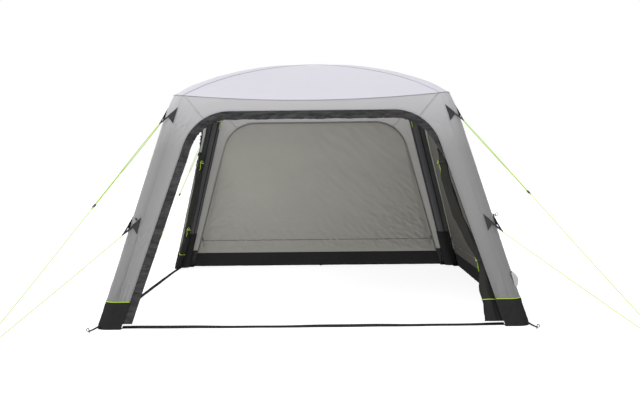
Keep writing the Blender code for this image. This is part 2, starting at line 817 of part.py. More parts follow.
def make_upper_ropes():
    """Each upper rope: from a knot under the runner, up round the anchor, down through the runner to the peg."""
    half = STRAND_SPACING / 2
    runner = runner_mesh()
    for leg in LEGS:
        knot = RUNNER_DISTANCES[leg] + KNOT_TAIL
        start, along, sideways, run = rope_frame(leg, UPPER_ANCHOR, UPPER_ROPE_HEIGHT_ON_PEG)
        points = [start + along * blend(knot, half, step / 2) + sideways * half for step in range(3)]
        for step in range(1, 6):
            turn = math.pi * step / 6
            points.append(start + sideways * half * math.cos(turn) + along * half * (1 - math.sin(turn)))
        points += [start + along * blend(half, knot, step / 2) - sideways * half for step in range(3)]
        single = knot + STRAND_MERGE
        for step in range(7):
            distance = blend(single, run, step / 6)
            sag = UPPER_ROPE_SAG * math.sin(math.pi * step / 6)
            points.append(start + along * distance - Vector((0, 0, sag)))
        add_tube(f"guy_rope_upper_{leg}", points, ROPE_DIAMETER / 2, ROPE, ROPE_RESOLUTION)
        piece = add_object(f"rope_runner_{leg}", runner, PLASTIC)
        up = along.cross(sideways)
        axes = Matrix((sideways, up, along)).transposed()
        if axes.determinant() < 0:
            axes = Matrix((sideways, -up, along)).transposed()
        piece.matrix_world = Matrix.Translation(start + along * RUNNER_DISTANCES[leg]) @ axes.to_4x4()


def runner_mesh():
    """A runner: a rounded block with a hole for each strand."""
    bm = bmesh.new()
    bmesh.ops.create_cube(bm, size=1.0)
    bmesh.ops.scale(bm, vec=RUNNER_SIZE, verts=bm.verts)
    bmesh.ops.bevel(bm, geom=bm.edges[:], offset=RUNNER_BEVEL, segments=2, profile=0.5, affect="EDGES", material=-1)
    block = add_object("runner_pattern", mesh_from(bm, "rope_runner"), PLASTIC)
    tools = []
    for side in (-1, 1):
        bm = bmesh.new()
        bmesh.ops.create_cone(
            bm, segments=12, radius1=RUNNER_HOLE / 2, radius2=RUNNER_HOLE / 2, depth=2 * RUNNER_SIZE[2],
            cap_ends=True, matrix=Matrix.Translation((side * STRAND_SPACING / 2, 0, 0)),
        )
        tool = add_cutter(f"strand_hole_{side}", mesh_from(bm, "strand_hole"))
        boolean(block, tool, "DIFFERENCE")
        tools.append(tool)
    cut = baked(block)
    bpy.data.objects.remove(block)
    for tool in tools:
        bpy.data.objects.remove(tool)
    return cut


def make_lower_ropes():
    """Each lower rope, straight from its anchor to the peg."""
    for leg in LEGS:
        start, along, _, run = rope_frame(leg, LOWER_ANCHOR, LOWER_ROPE_HEIGHT_ON_PEG)
        points = []
        for step in range(9):
            sag = LOWER_ROPE_SAG * math.sin(math.pi * step / 8)
            points.append(start + along * (run * step / 8) - Vector((0, 0, sag)))
        add_tube(f"guy_rope_lower_{leg}", points, ROPE_DIAMETER / 2, ROPE, ROPE_RESOLUTION)


def hooked_peg(name, place, diameter, height, hook_radius, drop):
    """The part of a peg above the ground: a rod with its top bent over, away from the shelter."""
    away = Vector((place[0], place[1], 0)).normalized()
    foot = Vector((place[0], place[1], 0))
    points = [foot, foot + Vector((0, 0, height / 2))]
    for step in range(6):
        turn = math.pi * step / 5
        rise = Vector((0, 0, height + hook_radius * math.sin(turn)))
        points.append(foot + away * hook_radius * (1 - math.cos(turn)) + rise)
    points.append(points[-1] - Vector((0, 0, drop)))
    add_tube(name, points, diameter / 2, STEEL, ROPE_RESOLUTION)


def make_pegs():
    """A peg at the end of each pair of ropes and one at each boot."""
    for index, leg in enumerate(LEGS):
        hooked_peg(f"guy_peg_{leg}", PEG_PLACES[leg], PEG_DIAMETER, PEG_HEIGHT, PEG_HOOK_RADIUS, PEG_HOOK_DROP)
        side = 1 if index < 2 else -1
        front = -1 if leg.startswith("front") else 1
        place = (side * (BASE_HALF + FOOT_PEG_OUT[0]), front * (BASE_HALF + FOOT_PEG_OUT[1]))
        hooked_peg(
            f"foot_peg_{leg}", place, FOOT_PEG_DIAMETER, FOOT_PEG_HEIGHT, FOOT_PEG_HOOK_RADIUS, FOOT_PEG_DIAMETER
        )


# Valve and pocket

def side_axes():
    """Along, up and out directions of the right side, as the columns of a turn."""
    out = Vector((1, 0, LEAN)) / SLANT
    up = Vector((-LEAN, 0, 1)) / SLANT
    return Matrix((up.cross(out), up, out)).transposed()


def valve_place(distance):
    """A turn and place on the valve's axis, at a distance from the centre of the tube."""
    axes = side_axes()
    centre = leg_axis(VALVE_HEIGHT)
    return Matrix.Translation(centre + axes.col[2] * distance) @ axes.to_4x4()


def turned(name, profile, surface, steps=24):
    """A turned piece, its profile given as radius and height from the top down."""
    bm = bmesh.new()
    spots = [bm.verts.new((radius, 0, height)) for radius, height in profile]
    for first, second in zip(spots, spots[1:]):
        bm.edges.new((first, second))
    piece = add_object(name, mesh_from(bm, name, smooth=False), surface)
    spin = piece.modifiers.new("turn", "SCREW")
    spin.steps = steps
    spin.render_steps = steps
    spin.use_merge_vertices = True
    spin.merge_threshold = 0.0001
    spin.use_smooth_shade = True
    return piece


def valve_hole():
    """The cutter for the hole in the leg cover."""
    bm = bmesh.new()
    bmesh.ops.create_cone(
        bm, segments=24, radius1=VALVE_HOLE_RADIUS, radius2=VALVE_HOLE_RADIUS, depth=CORNER_RADIUS, cap_ends=True
    )
    cutter = add_cutter("valve_hole", mesh_from(bm, "valve_hole"))
    cutter.matrix_world = valve_place(CORNER_RADIUS / SLANT)
    return cutter


def make_valve():
    """The valve on the air tube, its screw cap, and the pocket flap that covers both."""
    base = TUBE_RADIUS + VALVE_STANDOFF
    neck_top = VALVE_LENGTH
    valve = turned("inflation_valve", (
        (0, neck_top), (VALVE_NECK_RADIUS, neck_top), (VALVE_NECK_RADIUS, VALVE_FLANGE_THICKNESS),
        (VALVE_FLANGE_RADIUS, VALVE_FLANGE_THICKNESS), (VALVE_FLANGE_RADIUS, 0), (0, 0),
    ), PLASTIC)
    valve.matrix_world = valve_place(base)
    bm = bmesh.new()
    bmesh.ops.create_cone(
        bm, segments=4 * CAP_GRIPS, radius1=CAP_RADIUS, radius2=CAP_RADIUS, depth=CAP_THICKNESS, cap_ends=True
    )
    for vert in bm.verts:
        angle = math.atan2(vert.co.y, vert.co.x)
        grip = CAP_GRIP_DEPTH * (0.5 + 0.5 * math.cos(angle * CAP_GRIPS))
        scale = 1 - grip / CAP_RADIUS
        vert.co = (vert.co.x * scale, vert.co.y * scale, vert.co.z + CAP_THICKNESS / 2)
    cap = add_object("valve_cap", mesh_from(bm, "valve_cap", smooth=False), PLASTIC)
    cap.matrix_world = valve_place(base + neck_top + SEAM_GAP)

    columns, rows = 8, 6

    def place(column, row):
        across = column / columns * 2 - 1
        up = row / rows
        swell = POCKET_BULGE * (1 - across ** 4) * math.sin(POCKET_SWEEP * (1 - up))
        return Vector((across * POCKET_WIDTH / 2, (up - 1) * POCKET_HEIGHT, swell))

    flap = add_sheet("pocket_flap", columns, rows, place, COVER_CLOTH)
    top = valve_place(CORNER_RADIUS / SLANT + CLOTH + POCKET_CLEARANCE)
    flap.matrix_world = top @ Matrix.Translation((0, POCKET_HEIGHT / 2, 0))


# Zip sliders

def slider_mesh():
    """A zip slider with its pull, in its own frame: Z along the zip, Y into the room."""
    bm = bmesh.new()
    bmesh.ops.create_cube(bm, size=1.0)
    bmesh.ops.scale(bm, vec=SLIDER_SIZE, verts=bm.verts)
    bmesh.ops.bevel(
        bm, geom=bm.edges[:], offset=SLIDER_SIZE[1] / 4, segments=2, profile=0.5, affect="EDGES", material=-1
    )
    body = add_object("slider_pattern", mesh_from(bm, "zip_slider"), PLASTIC)
    bm = bmesh.new()
    bmesh.ops.create_cube(bm, size=1.0)
    bmesh.ops.scale(bm, vec=PULL_SIZE, verts=bm.verts)
    bmesh.ops.translate(bm, vec=(0, SLIDER_SIZE[1] / 2, -PULL_SIZE[2] / 2), verts=bm.verts)
    pull = add_cutter("pull_pattern", mesh_from(bm, "zip_pull"))
    boolean(body, pull, "UNION")
    joined = baked(body)
    bpy.data.objects.remove(body)
    bpy.data.objects.remove(pull)
    return joined


def make_zip_sliders():
    """Sliders on the zips at the edges of the walls that are zipped in, on the room side."""
    data = slider_mesh()
    for side, end, label in (("rear", 1, "rear_left"), ("rear", -1, "rear_right"), ("right", 1, "right_rear")):
        s = EDGE_FOOT - EDGE_LEAN * SLIDER_HEIGHT - SLIDER_EDGE_INSET
        depth = 3 * LAYER + SLIDER_CLEARANCE + SLIDER_SIZE[1] / 2 + WALL_BELLY / 4
        centre = on_face(end * s, SLIDER_HEIGHT, depth)
        along = (on_face(end * (s - EDGE_LEAN), SLIDER_HEIGHT + 1) - on_face(end * s, SLIDER_HEIGHT)).normalized()
        across = INWARD.cross(along).normalized()
        axes = Matrix((across, INWARD, along)).transposed()
        piece = add_object(f"zip_slider_{label}", data, PLASTIC)
        piece.matrix_world = quarter_turn(SIDES.index(side)) @ Matrix.Translation(centre) @ axes.to_4x4()


make_roof()
make_leg_covers()
make_headers()
make_flaps()
make_walls()
make_rolls()
make_air_frame()
make_sleeves()
make_boots()
make_ground_straps()
make_upper_ropes()
make_lower_ropes()
make_pegs()
make_valve()
make_zip_sliders()
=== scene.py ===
"""The looks of an inflatable event shelter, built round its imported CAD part.

Metres, +Z up, the open front arch faces -Y. Each cloth is a fine grid laid on the same lines as
the CAD part, with the folds and creases of the real cloth. Pieces that repeat are drawn at the
front side, or at the front right leg, and turned in quarter turns to their places.
"""
from __future__ import annotations

import functools
import itertools
import json
import logging
import math
from dataclasses import dataclass, field
from enum import Enum
from typing import Callable, Optional, Sequence

import bmesh
import bpy
from mathutils import Matrix, Vector, noise

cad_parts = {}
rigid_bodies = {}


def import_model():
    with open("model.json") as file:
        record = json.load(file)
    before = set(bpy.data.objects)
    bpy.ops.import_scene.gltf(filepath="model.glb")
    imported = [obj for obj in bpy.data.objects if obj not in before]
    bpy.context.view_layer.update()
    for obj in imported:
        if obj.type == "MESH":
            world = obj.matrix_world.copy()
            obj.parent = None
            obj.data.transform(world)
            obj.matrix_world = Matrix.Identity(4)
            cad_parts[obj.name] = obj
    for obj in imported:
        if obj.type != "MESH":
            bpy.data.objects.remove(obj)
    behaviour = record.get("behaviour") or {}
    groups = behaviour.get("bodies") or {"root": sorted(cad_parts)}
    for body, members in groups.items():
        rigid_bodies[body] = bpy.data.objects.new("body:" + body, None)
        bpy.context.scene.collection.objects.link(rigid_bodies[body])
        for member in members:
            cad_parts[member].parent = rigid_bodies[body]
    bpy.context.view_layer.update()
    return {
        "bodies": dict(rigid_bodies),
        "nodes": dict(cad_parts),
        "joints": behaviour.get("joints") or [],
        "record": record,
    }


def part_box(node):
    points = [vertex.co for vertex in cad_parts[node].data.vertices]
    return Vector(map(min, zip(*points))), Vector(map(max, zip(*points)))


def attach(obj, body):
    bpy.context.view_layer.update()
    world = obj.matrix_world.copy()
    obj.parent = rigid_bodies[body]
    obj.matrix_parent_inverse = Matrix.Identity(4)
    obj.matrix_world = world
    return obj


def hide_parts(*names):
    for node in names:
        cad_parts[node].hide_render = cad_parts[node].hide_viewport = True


LOG = logging.getLogger("event_shelter")
Place = Callable[[float, float], Vector]
Ripple = Callable[[Vector, float, float], float]
Outline = list[tuple[float, float]]
UP = Vector((0, 0, 1))


# Names

class Quarter(Enum):
    """Places that follow each other in quarter turns about the centre."""

    @property
    def label(self) -> str:
        """The place's name in the CAD part."""
        return self.name.lower()

    @property
    def turn(self) -> Matrix:
        """The turn from the first place to this one."""
        return Matrix.Rotation(math.pi / 2 * self.value, 4, "Z")


class Side(Quarter):
    """The four sides."""

    FRONT = 0
    RIGHT = 1
    REAR = 2
    LEFT = 3


class Leg(Quarter):
    """The four legs."""

    FRONT_RIGHT = 0
    REAR_RIGHT = 1
    REAR_LEFT = 2
    FRONT_LEFT = 3


class Face(Enum):
    """The two faces of a leg: its own front one, and the one round the corner."""

    FRONT = "front"
    SIDE = "side"


@dataclass(frozen=True)
class Anchor:
    """A guy anchor at a leg's corner: its tip, its rope's height at the peg, its cord loop and its webbing fan.

    The fan's corners are insets from the corner and heights over the tip: its high, low and notch corner.
    """

    label: str
    height: float
    out: float
    peg_height: float
    loop_width: float
    loop_reach: float
    fan: tuple[tuple[float, float], ...]


UPPER = Anchor("upper", 1.736, 0.004, 0.050, 0.012, 0.007, ((0.1085, 0.151), (0.1120, 0.006), (0.0542, 0.059)))
LOWER = Anchor("lower", 0.775, 0.018, 0.032, 0.008, 0.028, ((0.0929, 0.150), (0.1001, 0.006), (0.0520, 0.060)))


# Materials

def linear(code: str, gain: float = 1.0) -> tuple[float, float, float, float]:
    """Turns an sRGB hex colour into linear light.

    Args:
        code: The colour as six hex digits after a #.
        gain: A factor on the linear values.

    Returns:
        Red, green, blue and an alpha of one.
    """
    values = [int(code[place:place + 2], 16) / 255 for place in (1, 3, 5)]
    light = [value / 12.92 if value <= 0.04045 else ((value + 0.055) / 1.055) ** 2.4 for value in values]
    return (*(min(1.0, value * gain) for value in light), 1.0)


def add_node(tree: bpy.types.NodeTree, kind: str, settings: dict, links: Optional[dict] = None) -> bpy.types.Node:
    """Adds a node with its settings and links.

    Args:
        tree: The material's node tree.
        kind: The node's type, without its ShaderNode prefix.
        settings: Values by property name, socket name or socket number.
        links: Output sockets by the name or number of the input that they go to.

    Returns:
        The new node.
    """
    made = tree.nodes.new(f"ShaderNode{kind}")
    inputs = {}
    for key, value in settings.items():
        if isinstance(key, str) and hasattr(made, key):
            setattr(made, key, value)
        else:
            inputs[key] = value
    for key, value in inputs.items():
        made.inputs[key].default_value = value
    for key, source in (links or {}).items():
        tree.links.new(source, made.inputs[key])
    return made


@dataclass(frozen=True)
class Finish:
    """What a piece is made of: the material's name, its colour and its slot in the CAD part."""

    name: str
    colour: str
    slot: str
    roughness: float = 0.6

    def make(self) -> bpy.types.Material:
        """Builds the material.

        Returns:
            The material, with the surface that its kind of finish shades.
        """
        material = bpy.data.materials.new(self.name)
        material.use_nodes = True
        tree = material.node_tree
        tree.nodes.clear()
        solid = add_node(tree, "TexCoord", {}).outputs["Object"]
        add_node(tree, "OutputMaterial", {}, {"Surface": self.shade(tree, solid)})
        return material


@dataclass(frozen=True)
class ClothFinish(Finish):
    """Polyester cloth with a coating: threads show close up, and slack shows as soft crumpling."""

    # A wave texture repeats every 314 mm at scale one.
    WAVE_MM = 314

    thread_mm: float = 3.0
    thread_depth_mm: float = 0.10
    crumple_mm: float = 70.0
    crumple_depth_mm: float = 1.2
    mottle: float = 0.05
    mottle_mm: float = 380.0
    crease_lean: float = 0.0
    crease_stretch: float = 1.0
    sheen: float = 0.05
    gloss: float = 0.5
    # Colours blended in by height: painted shade towards the ground and painted light under the eaves.
    foot_colour: str = ""
    head_colour: str = ""
    hem_colour: str = ""
    hem_height: float = 0.0
    through: str = "#FFFFFF"
    lit_through: float = 0.0

    def shade(self, tree: bpy.types.NodeTree, solid: bpy.types.NodeSocket) -> bpy.types.NodeSocket:
        """Builds the cloth, whose threads follow the piece's own UV map in metres.

        Args:
            tree: The material's node tree.
            solid: The Object coordinates.

        Returns:
            The surface.
        """
        flat = add_node(tree, "UVMap", {"uv_map": "cloth"}).outputs[0]
        # Slack cloth creases along one direction: the relief and the colour variation are drawn out along it.
        place = add_node(
            tree, "Mapping", {"Rotation": (0.0, self.crease_lean, 0.0), "Scale": (1.0, 1.0, self.crease_stretch)},
            {"Vector": solid},
        ).outputs[0]
        scale = self.WAVE_MM / self.thread_mm
        threads = [
            add_node(tree, "TexWave", {"bands_direction": axis, "Scale": scale}, {"Vector": flat}) for axis in "XY"
        ]
        weave = add_node(
            tree, "Math", {"operation": "MAXIMUM"}, {index: wave.outputs["Fac"] for index, wave in enumerate(threads)}
        )
        crumple = add_node(
            tree, "TexNoise", {"Scale": 1000 / self.crumple_mm, "Detail": 3.0, "Roughness": 0.55, "Distortion": 0.6},
            {"Vector": place},
        )
        slack = add_node(
            tree, "Bump", {"Strength": 1.0, "Distance": self.crumple_depth_mm / 1000},
            {"Height": crumple.outputs["Fac"]},
        )
        relief = add_node(
            tree, "Bump", {"Strength": 1.0, "Distance": self.thread_depth_mm / 1000},
            {"Height": weave.outputs[0], "Normal": slack.outputs[0]},
        ).outputs[0]
        # Random colour variation in most cloths; in the flap's cloth it is strong and drawn out along the creases, as
        # painted shade and painted light of the wrinkles.
        patches_and_crease_shade = add_node(
            tree, "TexNoise", {"Scale": 1000 / self.mottle_mm, "Detail": 4.0, "Roughness": 0.6, "Distortion": 0.4},
            {"Vector": place},
        ).outputs["Fac"]
        blotches_and_crease_shade = add_node(tree, "MapRange", {"From Min": 0.35, "From Max": 0.65}, {"Value": patches_and_crease_shade})
        colour = add_node(
            tree, "Mix",
            {"data_type": "RGBA", 6: linear(self.colour, 1 - self.mottle), 7: linear(self.colour, 1 + self.mottle)},
            {0: blotches_and_crease_shade.outputs[0]},
        )
        # Painted shade darkens the colour towards the ground and painted light lifts it under the eaves,
        # and a hem of another cloth may be sewn on at the foot.
        height = add_node(tree, "SeparateXYZ", {}, {0: solid}).outputs["Z"]
        for shade, low, high, own, other in (
            (self.foot_colour, 0.2, 1.5, 7, 6), (self.head_colour, 1.5, 1.95, 6, 7),
            (self.hem_colour, self.hem_height - 0.003, self.hem_height, 7, 6),
        ):
            if shade:
                rise = add_node(tree, "MapRange", {"From Min": low, "From Max": high}, {"Value": height})
                colour = add_node(
                    tree, "Mix", {"data_type": "RGBA", other: linear(shade)},
                    {0: rise.outputs[0], own: colour.outputs[2]},
                )
        wear = add_node(
            tree, "MapRange", {"To Min": self.roughness - 0.06, "To Max": self.roughness + 0.06}, {"Value": patches_and_crease_shade}
        )
        surface = add_node(
            tree, "BsdfPrincipled",
            {"IOR": 1.5, "Specular IOR Level": self.gloss, "Sheen Weight": self.sheen, "Sheen Roughness": 0.4},
            {"Base Color": colour.outputs[2], "Roughness": wear.outputs[0], "Normal": relief},
        ).outputs[0]
        if self.lit_through:
            behind = add_node(tree, "BsdfTranslucent", {"Color": linear(self.through)}, {"Normal": relief})
            both = add_node(tree, "MixShader", {0: self.lit_through}, {1: surface, 2: behind.outputs[0]})
            surface = both.outputs[0]
        return surface


@dataclass(frozen=True)
class CordFinish(Finish):
    """Braided cord: the strands cross in short diamonds along it."""

    strand_mm: float = 3.0

    def shade(self, tree: bpy.types.NodeTree, solid: bpy.types.NodeSocket) -> bpy.types.NodeSocket:
        """Builds the braid.

        Args:
            tree: The material's node tree.
            solid: The Object coordinates.

        Returns:
            The surface.
        """
        braid = add_node(
            tree, "TexVoronoi", {"Scale": 1000 / self.strand_mm, "Randomness": 0.35}, {"Vector": solid}
        ).outputs["Distance"]
        relief = add_node(tree, "Bump", {"Strength": 0.6, "Distance": 0.0004}, {"Height": braid})
        colour = add_node(
            tree, "Mix", {"data_type": "RGBA", 6: linear(self.colour), 7: linear(self.colour, 0.72)}, {0: braid}
        )
        return add_node(
            tree, "BsdfPrincipled", {"Roughness": self.roughness, "IOR": 1.5, "Sheen Weight": 0.1},
            {"Base Color": colour.outputs[2], "Normal": relief.outputs[0]},
        ).outputs[0]


@dataclass(frozen=True)
class HardFinish(Finish):
    """A moulded or drawn surface: fine grain in its relief and a little wear in its roughness."""

    metallic: float = 0.0
    grain_mm: float = 0.8
    grain_depth_mm: float = 0.05

    def shade(self, tree: bpy.types.NodeTree, solid: bpy.types.NodeSocket) -> bpy.types.NodeSocket:
        """Builds the surface.

        Args:
            tree: The material's node tree.
            solid: The Object coordinates.

        Returns:
            The surface.
        """
        grain = add_node(tree, "TexNoise", {"Scale": 1000 / self.grain_mm, "Detail": 2.0}, {"Vector": solid})
        relief = add_node(
            tree, "Bump", {"Strength": 0.5, "Distance": self.grain_depth_mm / 1000}, {"Height": grain.outputs["Fac"]}
        )
        rubbed = add_node(tree, "TexNoise", {"Scale": 40.0, "Detail": 3.0}, {"Vector": solid}).outputs["Fac"]
        wear = add_node(
            tree, "MapRange", {"To Min": max(0.05, self.roughness - 0.1), "To Max": self.roughness + 0.1},
            {"Value": rubbed},
        )
        colour = add_node(
            tree, "Mix", {"data_type": "RGBA", 6: linear(self.colour, 0.9), 7: linear(self.colour, 1.15)}, {0: rubbed}
        )
        return add_node(
            tree, "BsdfPrincipled", {"Metallic": self.metallic, "IOR": 1.5},
            {"Base Color": colour.outputs[2], "Roughness": wear.outputs[0], "Normal": relief.outputs[0]},
        ).outputs[0]


# Pale grey coated polyester, woven: smooth, with a faint lilac cast under the sky.
ROOF_CLOTH = ClothFinish("roof_polyester_coated", "#B1B0B8", "roof_cloth", 0.55, mottle=0.012, crumple_depth_mm=1.0)
# The same cloth in mid grey, a little heavier, so it creases rather than ripples. Its colour is painted darker towards
# the ground as painted shade, and lighter under the eaves as painted light.
COVER_CLOTH = ClothFinish(
    "cover_polyester_coated", "#8F8F91", "cover_cloth", 0.58, mottle=0.025, crumple_depth_mm=2.2,
    foot_colour="#7D7D7F", head_colour="#B5B4B9", through="#F2F1EC", lit_through=0.38, hem_colour="#232324",
    hem_height=0.215,
)
# Dark grey uncoated polyester, woven, slack: it wrinkles all over. Its strong colour variation, drawn out along the
# creases, is painted shade and painted light of the wrinkles.
FLAP_CLOTH = ClothFinish(
    "flap_polyester_dark", "#343435", "flap_cloth", 0.62, crumple_mm=110, crumple_depth_mm=12.0, mottle=0.42,
    mottle_mm=120, sheen=0.0, gloss=0.1, crease_lean=0.55, crease_stretch=4.5,
)
# Vinyl coated cloth, calendered: black, smooth and matt under the wide sky.
BOOT_CLOTH = ClothFinish(
    "boot_vinyl_coated", "#272728", "boot_cloth", 0.45, thread_depth_mm=0.05, crumple_mm=60, crumple_depth_mm=3.0,
    sheen=0.0, gloss=0.0,
)
# Beige grey polyester, thin and slack: broad soft folds. Its colour is painted darker towards the ground: painted
# shade.
WALL_CLOTH = ClothFinish(
    "wall_polyester_thin", "#A09F97", "wall_cloth", 0.6, mottle=0.03, crumple_mm=120, crumple_depth_mm=3.0, gloss=0.3,
    foot_colour="#878680",
)
# The same cloth in the side wall, drawn darker as painted shade, and darker still towards the ground, also painted
# shade.
SIDE_WALL_CLOTH_PAINTED_SHADE = ClothFinish(
    "side_wall_polyester", "#706F69", "wall_cloth", 0.6, mottle=0.03, sheen=0.0, gloss=0.0, foot_colour="#4C4B47"
)
# The same cloth in many layers, rolled: no light comes through. Its dark olive colour is painted shade.
ROLL_CLOTH_PAINTED_SHADE = ClothFinish(
    "rolled_polyester", "#2C2C2A", "rolled_wall_cloth", 0.6, crumple_mm=40, crumple_depth_mm=5.0, sheen=0.0, gloss=0.0
)
# Grey mesh-backed polyester of the tube sleeves.
SLEEVE_CLOTH = ClothFinish(
    "sleeve_polyester", "#464648", "sleeve_cloth", 0.65, crumple_depth_mm=1.5, sheen=0.0, gloss=0.25
)
# Film coated cloth of the air tubes, blown tight.
TUBE_FILM = ClothFinish("tube_film_coated", "#8E9092", "tube_film", 0.4, thread_depth_mm=0.03, crumple_depth_mm=0.4)
# Woven nylon webbing, its ribs 2 mm apart, drawn at 4 mm so that they show.
WEBBING = ClothFinish(
    "webbing_nylon", "#2A2A2B", "webbing", 0.7, thread_mm=4.0, thread_depth_mm=0.5, sheen=0.0, gloss=0.0
)
# The webbing patches of the guy anchors: dark grey woven polyester, flat.
FAN_CLOTH = ClothFinish(
    "anchor_webbing_polyester", "#2E2E30", "cover_cloth", 0.65, thread_mm=4.0, thread_depth_mm=0.4, sheen=0.0, gloss=0.2
)
# The tapes that hold the tubes under the roof, seen through its cloth as thin grey lines.
RIDGE_SEAM = ClothFinish("ridge_tape_polyester", "#7E7D86", "roof_cloth", 0.6, crumple_depth_mm=0.3)
# The wall's stitched seams: its own colour, deeper where it is doubled.
WALL_SEAM = ClothFinish("wall_seam_polyester", "#5C5B55", "wall_cloth", 0.6, crumple_depth_mm=0.3, gloss=0.3)
# Zip tape with moulded coil teeth, drawn 8 mm apart so that they show.
ZIP_TAPE = ClothFinish("zip_coil_nylon", "#85847C", "black_plastic", 0.5, thread_mm=8.0, thread_depth_mm=1.0, gloss=0.3)
# The valve pocket: the cover's cloth, drawn lighter, without the cover's darkening towards the ground.
POCKET_CLOTH = ClothFinish(
    "pocket_polyester_coated", "#A0A0A2", "cover_cloth", 0.58, crumple_mm=30, crumple_depth_mm=2.5
)
# Braided polyester cord of the guy ropes, lime.
ROPE_BRAID = CordFinish("rope_polyester_braided", "#A3C907", "rope")
# Lime piping of the boots and the small ties, a little lighter than the ropes.
LIME_PIPING = CordFinish("piping_polyester_lime", "#ACD00A", "rope", 0.5)
# Black piping and pull cords: coated cord, smooth.
BLACK_PIPING = HardFinish("piping_vinyl_black", "#1E1E20", "boot_cloth", 0.5)
# Nylon, moulded, black: fine spark grain.
BLACK_NYLON = HardFinish("nylon_moulded_black", "#262628", "black_plastic", 0.42)
# Steel wire, drawn and blackened: dark grey with a broken shine.
PEG_STEEL = HardFinish("steel_wire_blackened", "#262628", "peg_steel", 0.38, 1.0, 2.0, 0.03)


@functools.cache
def material_of(finish: Finish) -> bpy.types.Material:
    """The material of a finish, built on its first use."""
    return finish.make()


# Mesh helpers

def between(low: float, high: float, share: float) -> float:
    """A value a share of the way between two."""
    return low + (high - low) * share


def shares(count: int) -> list[float]:
    """Even shares from 0 to 1."""
    return [step / count for step in range(count + 1)]


def ease(value: float) -> float:
    """A smooth step from 0 to 1."""
    value = min(1.0, max(0.0, value))
    return value * value * (3 - 2 * value)


def fade(across: float, up: float, wide: float, high: float) -> float:
    """Rises from 0 at the edges of a cloth to 1 inside, within shares of its width and height."""
    return ease(min(across, 1 - across) / wide) * ease(min(up, 1 - up) / high)


def ridge(value: float) -> float:
    """Turns noise into sharp ridges with flat valleys, from 0 to 1."""
    return (1 - min(1.0, abs(value) * 2)) ** 2


def over_corner(spot: Vector) -> Vector:
    """A point of a leg's front face, mirrored to its side face."""
    return Vector((-spot.y, -spot.x, spot.z))


def on_line(line: Outline, share: float) -> list[float]:
    """The distance along the face and the height at a share of an outline."""
    index = min(len(line) - 2, int(share * (len(line) - 1)))
    return [between(low, high, share * (len(line) - 1) - index) for low, high in zip(line[index], line[index + 1])]


def distances(points: Sequence[Vector]) -> list[float]:
    """How far along a line each of its points is."""
    return list(itertools.accumulate(((b - a).length for a, b in zip(points, points[1:])), initial=0.0))


def streak(spot: Vector, along: Vector, length: float, width: float, seed: float) -> float:
    """Noise drawn out along a direction, as creases in cloth are.

    Args:
        spot: Where it is read.
        along: The direction of the creases.
        length: How long a crease is, in metres.
        width: How far apart they are.
        seed: A number that picks the pattern.

    Returns:
        A value from about -1 to 1.
    """
    along = along.normalized()
    run = spot.dot(along)
    rest = spot - along * run
    return noise.noise(rest / width + along * (run / length) + Vector((seed, seed * 1.7, -seed)))


def add_object(name: str, data: bpy.types.ID, place: Optional[Matrix] = None) -> bpy.types.Object:
    """Adds an object to the scene.

    Args:
        name: Its name.
        data: Its mesh, curve, light or camera.
        place: Its place, if it isn't the origin.

    Returns:
        The new object.
    """
    made = bpy.data.objects.new(name, data)
    bpy.context.scene.collection.objects.link(made)
    if place is not None:
        made.matrix_world = place
    return made


def add_piece(name: str, data: bpy.types.ID, finish: Finish, stands_for: str = "",
              body: str = "shelter") -> bpy.types.Object:
    """Adds a piece, with the pull of its top corners and its finish.

    Args:
        name: The piece's name.
        data: Its mesh or curve.
        finish: What it is made of.
        stands_for: The CAD node that it replaces.
        body: The CAD body that carries it.

    Returns:
        The new object.
    """
    for point in data.vertices if isinstance(data, bpy.types.Mesh) else data.splines[0].points:
        point.co[:3] = FORM.shoulder(Vector(point.co[:3]))
    piece = add_object(name, data)
    data.materials.clear()
    data.materials.append(material_of(finish))
    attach(piece, body)
    if stands_for:
        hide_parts(stands_for)
    return piece


def mesh_of(name: str, bm: bmesh.types.BMesh) -> bpy.types.Mesh:
    """Ends a bmesh as a mesh.

    Args:
        name: The mesh's name.
        bm: What it holds.

    Returns:
        The mesh.
    """
    data = bpy.data.meshes.new(name)
    bm.to_mesh(data)
    bm.free()
    return data


def grid_mesh(name: str, cells: tuple[int, int], place: Place, ripple: Optional[Ripple] = None,
              turn: Optional[Matrix] = None, closed: bool = False) -> bpy.types.Mesh:
    """A fine grid laid on a surface, with a UV map in metres.

    Args:
        name: The mesh's name.
        cells: How many across and up.
        place: Gives the point at shares across and up.
        ripple: Gives how far a point stands out from the surface.
        turn: Where the whole is moved.
        closed: Whether the last column meets the first, and the ends are filled.

    Returns:
        The mesh.
    """
    columns, rows = cells
    bm = bmesh.new()
    bmesh.ops.create_grid(bm, x_segments=columns, y_segments=rows, size=0.5)
    table = {}
    for vert in bm.verts:
        column, row = round((vert.co.x + 0.5) * columns), round((vert.co.y + 0.5) * rows)
        table[column, row] = vert
        vert.co = place(column / columns, row / rows)
    across = distances([table[column, rows // 2].co for column in range(columns + 1)])
    up = distances([table[columns // 2, row].co for row in range(rows + 1)])
    spread = {vert: (across[column], up[row]) for (column, row), vert in table.items()}
    layer = bm.loops.layers.uv.new("cloth")
    for face in bm.faces:
        for loop in face.loops:
            loop[layer].uv = spread[loop.vert]
    if ripple:
        bm.normal_update()
        moved = {
            vert: vert.co + vert.normal * ripple(vert.co, column / columns, row / rows)
            for (column, row), vert in table.items()
        }
        for vert, spot in moved.items():
            vert.co = spot
    if closed:
        bmesh.ops.remove_doubles(bm, verts=bm.verts, dist=0.00002)
        bmesh.ops.holes_fill(bm, edges=[edge for edge in bm.edges if edge.is_boundary])
        bmesh.ops.recalc_face_normals(bm, faces=bm.faces)
    if turn:
        bmesh.ops.transform(bm, matrix=turn, verts=bm.verts)
    data = mesh_of(name, bm)
    data.shade_smooth()
    return data


